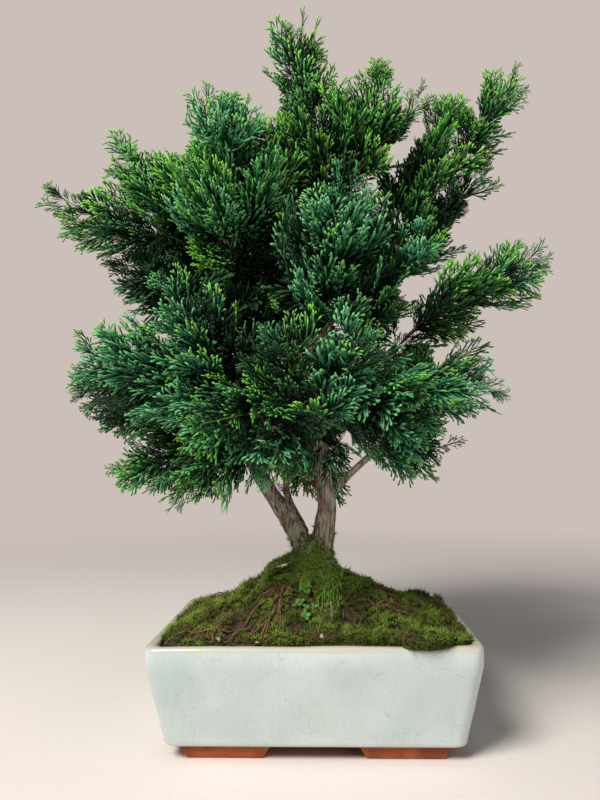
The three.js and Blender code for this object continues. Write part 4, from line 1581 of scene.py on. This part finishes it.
# Fronds that stand out from a pad, a few to each tip, by where the tips are.
STRAYS: dict[str, tuple[Triple, ...]] = {
    "apex": (
        (-20, 2, 617), (-13, 2, 614), (-26, 2, 606), (-18, 2, 602), (-29, 2, 589), (18, 2, 593),
        (12, 2, 601), (-5, 2, 576),
    ),
    "upper_left_front": (
        (-58, -60, 511), (-63, -60, 505), (-53, -60, 504), (-46, -60, 495), (-68, -60, 496),
        (-42, -60, 487), (-42, -62, 467), (-38, -62, 457), (-45, -62, 446), (-35, -62, 437),
        (-50, -62, 459), (-97, -62, 384), (-90, -62, 374), (-84, -62, 364),
    ),
    "left_upper": ((-178, 10, 522), (-169, 8, 508), (-187, 10, 481)),
    "left_arm": ((-243, 10, 472), (-236, 8, 457), (-231, 16, 426), (-217, 12, 414), (-204, 8, 404)),
    "left_mid": (
        (-169, 30, 416), (-159, 30, 412), (-149, 30, 405), (-163, 30, 400), (-175, 30, 406),
        (-145, 30, 415), (-200, 35, 403), (-192, 35, 390), (-186, 35, 374), (-178, 35, 366),
        (-194, 30, 405), (-165, 16, 408), (-151, 32, 433), (-147, 30, 423), (-157, 26, 415),
        (-163, 30, 426), (-171, 32, 415), (-141, 24, 429),
    ),
    "centre_front_upper": (
        (4, -105, 409), (15, -105, 411), (26, -105, 409), (35, -105, 402), (-3, -105, 401),
        (44, -105, 393), (50, -105, 384),
    ),
    "right_upper": (
        (119, 12, 542), (128, 12, 546), (135, 12, 538), (144, 12, 543), (149, 12, 532), (123, 12, 529),
        (132, 12, 525), (141, 12, 517), (115, 12, 522), (131, -4, 490), (66, 12, 459), (73, 12, 448),
        (76, 12, 461),
    ),
    "top_right": ((77, -2, 565), (56, -6, 563), (46, -2, 566), (64, -4, 574), (71, -2, 572)),
    "top_right_lobe": ((103, -42, 503), (96, -42, 509), (98, -42, 497), (90, -42, 514)),
    "right_mid": (
        (139, 40, 479), (152, 44, 488), (143, 30, 461), (144, 40, 449), (152, 40, 454), (155, 40, 442),
    ),
    "right_upper_tip": ((166, 6, 564), (198, 8, 541), (144, 10, 529), (149, 10, 518), (148, 10, 538)),
    "right_arm": (
        (205, -14, 369), (198, -14, 357), (187, -14, 390), (173, -14, 396), (195, -14, 376),
        (134, -14, 316), (116, -18, 307), (100, -20, 306),
    ),
    "right_low": (
        (157, -36, 259), (153, -36, 265), (144, -30, 282), (75, -30, 305), (85, -30, 299), (95, -30, 304),
        (102, -30, 296), (112, -30, 302), (82, -30, 289), (130, -30, 292),
    ),
    "right_low_rear": (
        (85, 30, 311), (97, 30, 318), (108, 30, 308), (117, 30, 314), (103, 30, 299), (89, 30, 296),
    ),
    "front_right_low": ((32, -30, 242), (28, -30, 234), (34, -30, 228), (38, -30, 221)),
    "right_under": ((71, 16, 188), (89, 22, 191), (37, -4, 219)),
    "front_hang_right": ((26, -70, 213), (29, -70, 202), (9, -74, 211), (16, -74, 207), (12, -72, 219)),
    "front_low_centre": ((-11, -70, 199), (-26, -70, 206), (-22, -70, 195)),
    "bottom_left_front": ((-97, -76, 183),),
    "left_low_rear": (
        (-222, 30, 292), (-224, 30, 275), (-214, 30, 260), (-200, 30, 249), (-199, 40, 244),
        (-177, 30, 236),
    ),
    "rear_low_centre": ((-10, 30, 176), (-2, 30, 181), (22, 30, 170)),
}


# Tips of the withered sprays.
DEAD_TIPS = ((-13, -14, 191), (-5, -14, 186), (1, -10, 192), (-7, -20, 197), (-20, -16, 187))

# Windows through the crown, by their place and radius where the front view meets the trunk's plane.
WINDOWS = (
    (-39, 552, 9), (-31, 533, 7), (83, 486, 8), (99, 506, 6), (-120, 503, 12), (-142, 509, 6),
    (-211, 465, 8), (89, 362, 9), (79, 422, 4), (82, 328, 6), (111, 299, 6), (-92, 167, 12),
    (-120, 160, 9), (-60, 173, 10), (-148, 177, 6), (152, 519, 3), (134, 411, 9), (148, 433, 7),
    (204, 525, 6), (177, 509, 5), (157, 334, 7), (191, 404, 5), (163, 285, 4), (-193, 341, 8),
    (-219, 276, 4), (28, 230, 3), (-42, 594, 8), (-44, 577, 8), (-45, 557, 8), (28, 583, 7), (40, 569, 9),
    (47, 204, 8), (61, 196, 6), (146, 406, 8), (-246, 438, 7), (-236, 423, 8), (167, 304, 9),
    (175, 287, 8), (161, 294, 4), (98, 174, 8),
)

# Hollows between the pads, where the fronds get painted shade, given in the same way.
HOLLOWS = (
    (-20, 447, 14), (-32, 405, 20), (-63, 392, 12), (-83, 350, 14), (26, 479, 9), (-13, 464, 9),
    (70, 428, 9), (-50, 362, 14), (-63, 318, 21), (-7, 319, 9), (-13, 233, 10), (-36, 231, 6),
    (2, 247, 7), (-142, 411, 21), (-171, 388, 14), (-161, 363, 10), (83, 457, 6), (72, 350, 10),
    (-189, 266, 22), (99, 328, 14), (137, 349, 8), (145, 507, 5), (35, 320, 6), (-92, 253, 8),
    (-149, 232, 9), (44, 231, 9), (60, 230, 8),
)


@dataclass(frozen=True)
class Fan:
    """A group of fronds on a pad that share a direction and a shade."""

    place: Array
    normal: Array
    heading: Array
    cast: float
    age: float


@dataclass(frozen=True)
class Dimming:
    """How much each cause darkens a frond with painted shade."""

    turned_away: float = 0.35
    painted_deep_shade: float = 1.6
    covered: float = 0.35
    fan_edge: float = 0.5
    hollow: float = 1.0
    low: float = 0.7
    base: float = -0.3
    spread: float = 0.1


@dataclass
class Crown:
    """All the foliage: fronds that run from each pad's stalk to the pad's surface."""

    front_spacing: float = 16.5
    rear_spacing: float = 24.0
    front_from: Pair = (-70.0, 90.0)
    shade_spacing: float = 17.5
    shade_reach: Pair = (0.45, 0.93)
    proud: Pair = (-9.0, 6.0)
    fan_spacing: float = 40.0
    fan_radius: float = 27.0
    fan_pull: float = 5.0
    fan_bulge: float = 9.0
    fan_hidden: float = 0.3
    frond_hidden: float = 0.15
    shortest: float = 12.0
    dimming: Dimming = Dimming()
    stalk_share: Pair = (0.3, 0.82)
    stalk_radii: Pair = (1.0, 0.4)
    splay: float = 1.15
    variants: int = 6
    heart_middle: Triple = (-38.0, 8.0, 356.0)
    heart_half: Triple = (108.0, 76.0, 142.0)
    heart_spacing: float = 16.0
    heart_tries: int = 9000
    heart_share: float = 0.45
    heart_past: float = 6.0
    heart_reach: Pair = (30.0, 45.0)
    stray_fronds: int = 3
    stray_normal: Triple = (0.0, -0.8, 0.6)
    stray_step: float = 5.0
    window_share: float = 0.03
    shrink: tuple[float, ...] = (1.0, 0.86, 0.72, 0.58)
    kinds: tuple[float, ...] = (48.0, 66.0, 86.0)
    shade_rays: int = 16
    shade_depth: float = 95.0

    def __post_init__(self) -> None:
        """Grows the patterns and reads the pads' surfaces."""
        self.shift = pot_middle() / METRES
        sizes = {
            "short": FrondPattern(34.0, 8, 7.0),
            "middling": FrondPattern(48.0, 10, 7.4),
            "long": FrondPattern(66.0, 13, 7.8, bare=0.26),
            "longest": FrondPattern(88.0, 16, 8.0, bare=0.34, reach=0.42),
        }
        self.patterns = [
            [size.grow(f"{name} {order}") for order in range(self.variants)] for name, size in sizes.items()
        ]
        shade = FrondPattern(50.0, 12, 6.0, width=4.6, thickness=1.8, ring_pitch=40.0, fingers=False)
        self.shade_patterns = [shade.grow(f"shade {order}") for order in range(4)]
        self.surfaces = {pad.name: node_triangles(f"foliage_{pad.name}") for pad in PADS}
        every = np.concatenate(list(self.surfaces.values()))
        corners = [Vector(p) for p in every.reshape(-1, 3)]
        self.tree = BVHTree.FromPolygons(corners, [(i, i + 1, i + 2) for i in range(0, len(corners), 3)])
        self.low, self.high = (np.array(c) / METRES for c in CAD_BOX)
        self.wood = {node: self.wood_places(node) for node in sorted({pad.branch for pad in PADS})}
        self.every_wood = self.wood_places("trunk", *BRANCH_NODES)
        self.outlooks = unit(random_for("outlooks").normal(0, 1, (self.shade_rays, 3)))

    def wood_places(self, *nodes: str) -> KDTree:
        """Gathers points on some wood, for fronds to spring from."""
        points = np.concatenate([node_triangles(node).mean(axis=1) for node in nodes])
        if len(nodes) > 1:
            shares = np.linspace(0.3, 0.8, 6)
            stalks = [base + (tip - base) * s for base, tip in map(self.line, PADS) for s in shares]
            points = np.concatenate([points, np.array(stalks)])
        places = KDTree(len(points))
        for order, point in enumerate(points):
            places.insert(point, order)
        places.balance()
        return places

    def line(self, pad: Pad) -> tuple[Array, Array]:
        """Gives the ends of a pad's line in the frame."""
        return np.array(pad.base) + self.shift, np.array(pad.tip) + self.shift

    def exposed(self, place: Array, normal: Array) -> bool:
        """Tells whether a place on a pad faces the open air."""
        return self.tree.ray_cast(Vector(place + normal * 0.1), Vector(normal), 12.0)[0] is None

    def shade(self, place: Array, normal: Array) -> float:
        """Tells how deep a place lies between the pads, from 0 in the open to about 1, which sets how much
        painted shade the fronds there get.
        """
        hits = 0.0
        for outlook in self.outlooks:
            ray = Vector(unit(0.9 * outlook + normal + 0.25 * UP_VECTOR))
            distance = self.tree.ray_cast(Vector(place) + ray * 2.0, ray, self.shade_depth)[3]
            hits += 0.0 if distance is None else 1 - distance / self.shade_depth
        return hits / self.shade_rays

    def on_trunk_plane(self, points: Array) -> Array:
        """Gives where the lines from the eye to some points meet the trunk's plane, as X and height."""
        offset = np.atleast_2d(points) - self.shift - EYE
        return EYE[[0, 2]] + offset[:, [0, 2]] * (-EYE[1] / offset[:, 1])[:, None]

    def in_window(self, points: Array) -> bool:
        """Tells whether a frond's points cross a window through the crown."""
        seen = self.on_trunk_plane(points)
        return any((np.linalg.norm(seen - (x, z), axis=1) < radius).mean() > self.window_share
                   for x, z, radius in WINDOWS)

    def hollow(self, place: Array) -> float:
        """Tells how far a place lies in a hollow of painted shade, from 0 to 1."""
        seen = self.on_trunk_plane(place)[0]
        return max(fade(-math.dist(seen, (x, z)) / radius, -1.4, -0.6) for x, z, radius in HOLLOWS)

    def spread_over(self, pad: Pad, spacing: float, hidden: float,
                    random: Random) -> list[tuple[Array, Array, bool]]:
        """Spreads places evenly over a pad's surface.

        Args:
            pad: The pad.
            spacing: About how far apart they are.
            hidden: How thickly they lie where another pad covers this one, against 1 in the open.
            random: The random source.

        Returns:
            Each place with the surface's normal there and whether it faces the open air.
        """
        corners = self.surfaces[pad.name]
        across = np.cross(corners[:, 1] - corners[:, 0], corners[:, 2] - corners[:, 0])
        areas = np.linalg.norm(across, axis=1) / 2
        normals = unit(across)
        open_air = np.array([self.exposed(m, n) for m, n in zip(corners.mean(axis=1), normals)])
        weight = areas * np.where(open_air, 1.0, hidden)
        chosen: list[tuple[Array, Array, bool]] = []
        for _ in range(max(3, round(weight.sum() / spacing ** 2))):
            picks = random.choice(len(areas), 6, p=weight / weight.sum())
            a, b = np.sort(random.uniform(0, 1, (2, 6)), axis=0)
            c = corners[picks]
            places = c[:, 0] * a[:, None] + c[:, 1] * (b - a)[:, None] + c[:, 2] * (1 - b)[:, None]
            gaps = [min([np.linalg.norm(p - q[0]) for q in chosen], default=1e9) for p in places]
            best = int(np.argmax(gaps))
            chosen.append((places[best], normals[picks[best]], bool(open_air[picks[best]])))
        return chosen

    def foot(self, pad: Pad, end: Array) -> Array:
        """Finds where on the wood a frond that ends at a place springs from."""
        base, tip = self.line(pad)
        length = np.linalg.norm(tip - base)
        line = (tip - base) / length
        along = (end - base) @ line
        away = np.linalg.norm(end - base - line * along)
        share = (along - away * self.splay) / length
        low, high = self.stalk_share
        if share < low:
            ideal = base + line * length * max(share, -0.1)
            near = np.array(self.wood[pad.branch].find(Vector(ideal))[0])
            joint = base + line * length * low
            return near if np.linalg.norm(near - ideal) < np.linalg.norm(joint - ideal) else joint
        return base + line * length * min(share, high)

    def frond(self, copies: Copies, start: Array, end: Array, heading: Array,
              normal: Array, look: Triple, random: Random,
              shade: bool = False) -> None:
        """Adds one frond, which leaves its stalk and bends round to its own heading.

        Args:
            copies: Where it is added.
            start: Where it leaves the wood.
            end: Where it ends.
            heading: The direction that it ends in.
            normal: The direction that its upper face looks to.
            look: Its tone, how young its tips are and how much painted shade it gets.
            random: The random source.
            shade: Whether it is one of the plain fronds inside.
        """
        roll, bend, cup = random.normal(0, 0.3), random.normal(0, 0.3), random.uniform(-0.6, 0.1)
        choice = random.integers(1000)
        for share in self.shrink:
            reach = start + (end - start) * share
            span = np.linalg.norm(reach - start)
            knee = reach - heading * span * 0.5
            length = 0.5 * (span + np.linalg.norm(knee - start) + np.linalg.norm(reach - knee))
            kind = int(np.searchsorted(self.kinds, length))
            patterns = self.shade_patterns if shade else self.patterns[kind]
            pattern = patterns[choice % len(patterns)]
            x, y, z = pattern.points.T
            scale = length / y.max()
            t = (y / y.max())[:, None]
            middle = (1 - t) ** 2 * start + 2 * t * (1 - t) * knee + t ** 2 * reach
            along = unit((1 - t) * (knee - start) + t * (reach - knee))
            across = unit(np.cross(along, normal))
            face = np.cross(across, along)
            turn = roll + bend * t
            cos, sin = np.cos(turn), np.sin(turn)
            across, face = across * cos + face * sin, face * cos - across * sin
            rise = z + cup * x ** 2 / y.max()
            points = middle + across * (x * scale)[:, None] + face * (rise * scale)[:, None]
            if span >= self.shortest and not self.in_window(points):
                break
        else:
            return
        over = np.maximum(points.max(axis=0) - self.high, 0) - np.maximum(self.low - points.min(axis=0), 0)
        tone, young, dim = (float(v) for v in np.clip(look, 0, 1))
        copies.add(points - over, pattern, tone=tone, young=young, dim=dim)

    def fans(self, pad: Pad, axis: Array, random: Random) -> list[Fan]:
        """Places the fans that a pad's fronds gather in.

        Args:
            pad: The pad.
            axis: The pad's own direction.
            random: The random source.

        Returns:
            The fans.
        """
        fans = []
        for place, normal, _ in self.spread_over(pad, self.fan_spacing, self.fan_hidden, random):
            heading = axis + random.uniform(0.2, 0.75) * normal + UP_VECTOR * 0.4 * pad.curl
            heading = unit(heading + random.normal(0, 0.16, 3))
            fans.append(Fan(place, normal, heading, *random.normal(0, 1, 2)))
        return fans

    def outer_sprays(self, pad: Pad, copies: Copies, random: Random) -> None:
        """Adds the large fronds over a pad's surface, gathered in fans.

        Args:
            pad: The pad.
            copies: Where they are added.
            random: The random source.
        """
        base, tip = self.line(pad)
        behind = fade(tip[1], *self.front_from)
        spacing = self.front_spacing + (self.rear_spacing - self.front_spacing) * behind
        fans = self.fans(pad, unit(tip - base), random)
        cause = self.dimming
        for place, normal, open_air in self.spread_over(pad, spacing, self.frond_hidden, random):
            fan = min(fans, key=lambda f: np.linalg.norm(f.place - place))
            offset = (place - fan.place) / self.fan_radius
            edge = min(1.0, np.linalg.norm(offset))
            bulge = self.fan_bulge * (1 - edge ** 2)
            lift = random.uniform()
            end = place - offset * self.fan_pull + normal * (np.interp(lift, (0, 1), self.proud) + bulge)
            heading = unit(fan.heading + 0.22 * offset + random.normal(0, 0.08, 3))
            face = unit(0.7 * fan.normal + 0.3 * normal)
            lit = fade(face[2], -0.4, 0.7)
            hollow = self.hollow(end)
            youth = pad.young * (0.35 + 0.65 * lit) * (1.0 + 0.5 * fan.age) * (1 - hollow)
            bright = random.uniform() < youth
            # Painted shade: the frond is darkened where it faces away from above, lies deep between the
            # pads, is covered by another pad, sits at a fan's edge, lies in a hollow and sinks below the
            # surface, plus the pad's own share.
            depth = self.shade(place + normal * 3.0, normal)
            dim = cause.turned_away * (1 - lit) + cause.painted_deep_shade * depth + cause.covered * (not open_air)
            dim += cause.fan_edge * fade(edge, 0.5, 1.0)
            dim += cause.hollow * hollow + cause.low * (0.5 - lift) + pad.dim
            dim += random.normal(cause.base, cause.spread)
            look = (pad.tone + 0.25 * fan.cast + random.normal(0, 0.1), 0.2 + 0.8 * bright, dim)
            self.frond(copies, self.foot(pad, end), end, heading, face, look, random)

    def shade_sprays(self, pad: Pad, copies: Copies, random: Random) -> None:
        """Adds the plain fronds that close a pad inside, darkened with painted shade.

        Args:
            pad: The pad.
            copies: Where they are added.
            random: The random source.
        """
        base, tip = self.line(pad)
        heart = base + (tip - base) * self.heart_share
        for place, normal, _ in self.spread_over(pad, self.shade_spacing, 1.0, random):
            end = heart + (place - heart) * random.uniform(*self.shade_reach)
            start = self.foot(pad, end)
            # These fronds get heavy painted shade.
            look = (pad.tone, 0.0, random.uniform(0.6, 1.0))
            self.frond(copies, start, end, unit(end - start), normal, look, random, shade=True)

    def stray_sprays(self, pad: Pad, copies: Copies, random: Random) -> None:
        """Adds the fronds that stand out from a pad.

        Args:
            pad: The pad.
            copies: Where they are added.
            random: The random source.
        """
        normal = unit(np.array(self.stray_normal))
        # Strays get painted shade, less on pads with young growth, plus the pad's own share.
        look = (pad.tone, 0.2 + pad.young, max(0.1, 0.5 - pad.young) + pad.dim)
        for place in STRAYS.get(pad.name, ()):
            for order in range(self.stray_fronds):
                end = np.array(place) + self.shift
                start = self.foot(pad, end)
                back = order * self.stray_step
                end = end - unit(end - start) * back + random.normal(0, 0.7, 3) * back
                heading = unit(unit(end - start) + UP_VECTOR * 0.2 * pad.curl)
                self.frond(copies, start, end, heading, normal, look, random)

    def pad_sprays(self, pad: Pad) -> Copies:
        """Makes the fronds of one pad.

        Args:
            pad: The pad.

        Returns:
            The fronds: large ones over its surface, plain ones that close it inside, and stray ones.
        """
        random = random_for(pad.name)
        copies = Copies()
        self.outer_sprays(pad, copies, random)
        self.shade_sprays(pad, copies, random)
        self.stray_sprays(pad, copies, random)
        return copies

    def inner_sprays(self) -> Copies:
        """Makes the fronds that fill the heart of the crown, made nearly black with painted shade."""
        random = random_for("inner")
        copies = Copies()
        middle, half = np.array(self.heart_middle) + self.shift, np.array(self.heart_half)
        kept: list[Array] = []
        for place in middle + random.uniform(-1, 1, (self.heart_tries, 3)) * half:
            near = min((np.linalg.norm(place - other) for other in kept), default=1e9)
            if near < self.heart_spacing or np.linalg.norm((place - middle) / half) > 1:
                continue
            kept.append(place)
            start = np.array(self.every_wood.find(Vector(place))[0])
            away = np.linalg.norm(place - start)
            ahead = unit(unit(place - start) + random.normal(0, 0.25, 3))
            end = start + ahead * max(away + self.heart_past, random.uniform(*self.heart_reach))
            # These fronds get heavy painted shade.
            look = (0.5, 0.0, random.uniform(0.75, 1.0))
            self.frond(copies, start, end, ahead, unit(random.normal(0, 1, 3)), look, random, shade=True)
        return copies

    def dead_sprays(self) -> Copies:
        """Makes the few withered sprays that hang on the stems under the crown."""
        random = random_for("dead")
        copies = Copies()
        for place in DEAD_TIPS:
            end = np.array(place) + self.shift
            start = np.array(self.every_wood.find(Vector(end + UP_VECTOR * 14.0))[0])
            normal = unit(random.normal(0, 1, 3))
            self.frond(copies, start, end, unit(end - start), normal, (0.5, 0.0, 0.0), random)
        return copies

    def add_stalks(self, bm: BMesh, branch: str) -> None:
        """Adds the stalks of a branch's pads to the branch.

        Args:
            bm: The branch.
            branch: The branch's node.
        """
        for pad in (p for p in PADS if p.branch == branch):
            base, tip = self.line(pad)
            shares = np.linspace(*self.stalk_share, 5)
            old = set(bm.verts)
            sweep(bm, [Vector(base + (tip - base) * s) for s in shares], self.stalk_radii, 5)
            for vert in set(bm.verts) - old:
                vert[bm.verts.layers.float["mossy"]] = 1.0

    def build(self) -> None:
        """Makes every pad's sprays."""
        material = FoliageFinish().material()
        for pad in PADS:
            sprays = self.pad_sprays(pad)
            add_piece(f"sprays_{pad.name}", sprays, material, Slot.FOLIAGE, f"foliage_{pad.name}")
        add_piece("sprays_inside", self.inner_sprays(), material, Slot.FOLIAGE)
        dead = PlainFinish("withered_scales", (0.090, 0.034, 0.016), (0.270, 0.120, 0.055), 2.5, 0.7, 0.3)
        add_piece("sprays_withered", self.dead_sprays(), dead.material(), Slot.FOLIAGE)


# ---- studio


@dataclass
class Studio:
    """The camera, the pale floor and the soft light."""

    yaw: float = -2.42
    pitch: float = 5.45
    roll: float = -0.82
    focal_pixels: float = 620.0
    frame_height: float = 800.0
    sensor: float = 36.0
    floor_radius: float = 6.0
    floor_fade: Pair = (0.25, 1.6)
    floor_colour: Colour = (0.66, 0.60, 0.56)
    grain_size: float = 5.0
    grain_shades: Pair = (0.985, 1.015)
    backdrop: Colour = (0.60, 0.52, 0.485)
    sky: Colour = (0.80, 0.86, 0.95)
    sky_strength: float = 0.2

    def camera(self) -> None:
        """Makes the camera."""
        data = bpy.data.cameras.new("camera")
        data.sensor_width = self.sensor
        data.lens = self.focal_pixels / self.frame_height * self.sensor
        data.clip_start, data.clip_end = 0.02, 30.0
        camera = bpy.data.objects.new("camera", data)
        yaw, pitch, roll = (math.radians(a) for a in (self.yaw, self.pitch, self.roll))
        ahead = Vector((math.sin(yaw) * math.cos(pitch), math.cos(yaw) * math.cos(pitch), math.sin(pitch)))
        right = Vector((math.cos(yaw), -math.sin(yaw), 0.0))
        above = right.cross(ahead)
        side = right * math.cos(roll) + above * math.sin(roll)
        top = above * math.cos(roll) - right * math.sin(roll)
        turn = Matrix((side, top, -ahead)).transposed().to_4x4()
        place = Vector(pot_middle()) + Vector(EYE) * METRES
        camera.matrix_world = Matrix.Translation(place) @ turn
        bpy.context.scene.collection.objects.link(camera)
        bpy.context.scene.camera = camera

    def floor(self) -> None:
        """Makes the pale floor."""
        bm = bmesh.new()
        bmesh.ops.create_circle(bm, cap_ends=True, segments=96, radius=self.floor_radius / METRES)
        material, nodes, shader = new_material("pale_floor")
        place = nodes.place()
        away = nodes.add("VectorMath", {0: place}, operation="LENGTH").outputs["Value"]
        far = nodes.ramp(away, *self.floor_fade)
        grain = nodes.noise(place, self.grain_size, 4.0)
        near = nodes.shaded(self.floor_colour, nodes.ramp(grain, *CLOUD_RANGE, *self.grain_shades))
        glow = nodes.mix(far, (0.0, 0.0, 0.0), self.backdrop)
        link(nodes, shader, Base_Color=nodes.mix(far, near, (0.0, 0.0, 0.0)), Emission_Color=glow,
             Emission_Strength=1.0, Roughness=0.85, Specular_IOR_Level=0.0)
        add_object("floor", mesh_from_bmesh(bm, "floor"), material)

    def lamp(self, name: str, place: Triple, size: float, power: float, colour: Colour) -> None:
        """Adds a soft square lamp that faces the crown.

        Args:
            name: Its name.
            place: Where it is, in metres.
            size: Its side, in metres.
            power: Its power, in watts.
            colour: Its colour.
        """
        data = bpy.data.lights.new(name, "AREA")
        data.size = size
        data.energy = power
        data.color = colour
        lamp = bpy.data.objects.new(name, data)
        lamp.location = place
        lamp.rotation_euler = (Vector(place) - Vector((0, 0, 0.3))).to_track_quat("Z", "Y").to_euler()
        bpy.context.scene.collection.objects.link(lamp)

    def build(self) -> None:
        """Sets up the studio."""
        self.camera()
        self.floor()
        world = bpy.data.worlds.new("studio")
        world.use_nodes = True
        nodes = Nodes(world.node_tree)
        seen = nodes.add("LightPath").outputs["Is Camera Ray"]
        light = nodes.add("Background", {"Color": (*self.sky, 1.0), "Strength": self.sky_strength})
        wall = nodes.add("Background", {"Color": (*self.backdrop, 1.0), "Strength": 1.0})
        both = nodes.add("MixShader", {0: seen, 1: light.outputs[0], 2: wall.outputs[0]})
        world.node_tree.links.new(both.outputs[0], world.node_tree.nodes["World Output"].inputs[0])
        bpy.context.scene.world = world
        self.lamp("window", (-1.0, -1.3, 1.75), 0.9, 84.0, (1.0, 0.985, 0.95))
        self.lamp("room", (1.6, -1.1, 0.8), 1.4, 9.0, (1.0, 0.93, 0.88))
        bpy.context.scene.view_settings.view_transform = "Standard"


def main() -> None:
    """Builds the plant and the studio."""
    logging.basicConfig(level=logging.INFO, format="%(message)s")
    Studio().build()
    Pot().build()
    moss = Moss()
    moss.build()
    GroundCover(moss).build()
    crown = Crown()
    Wood().build(moss, crown)
    crown.build()
    soil = PlainFinish("soil_crumbs", (0.020, 0.012, 0.008), (0.075, 0.048, 0.030), 2.5, 0.95, 1.2)
    screen = PlainFinish("screen_plastic", (0.012, 0.012, 0.011), (0.022, 0.022, 0.020), 1.0, 0.55, 0.1)
    for node, finish in (("soil", soil), ("drain_screen_left", screen), ("drain_screen_right", screen)):
        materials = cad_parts[node].data.materials
        materials.clear()
        materials.append(finish.material())
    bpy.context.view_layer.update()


if __name__ == "__main__":
    main()
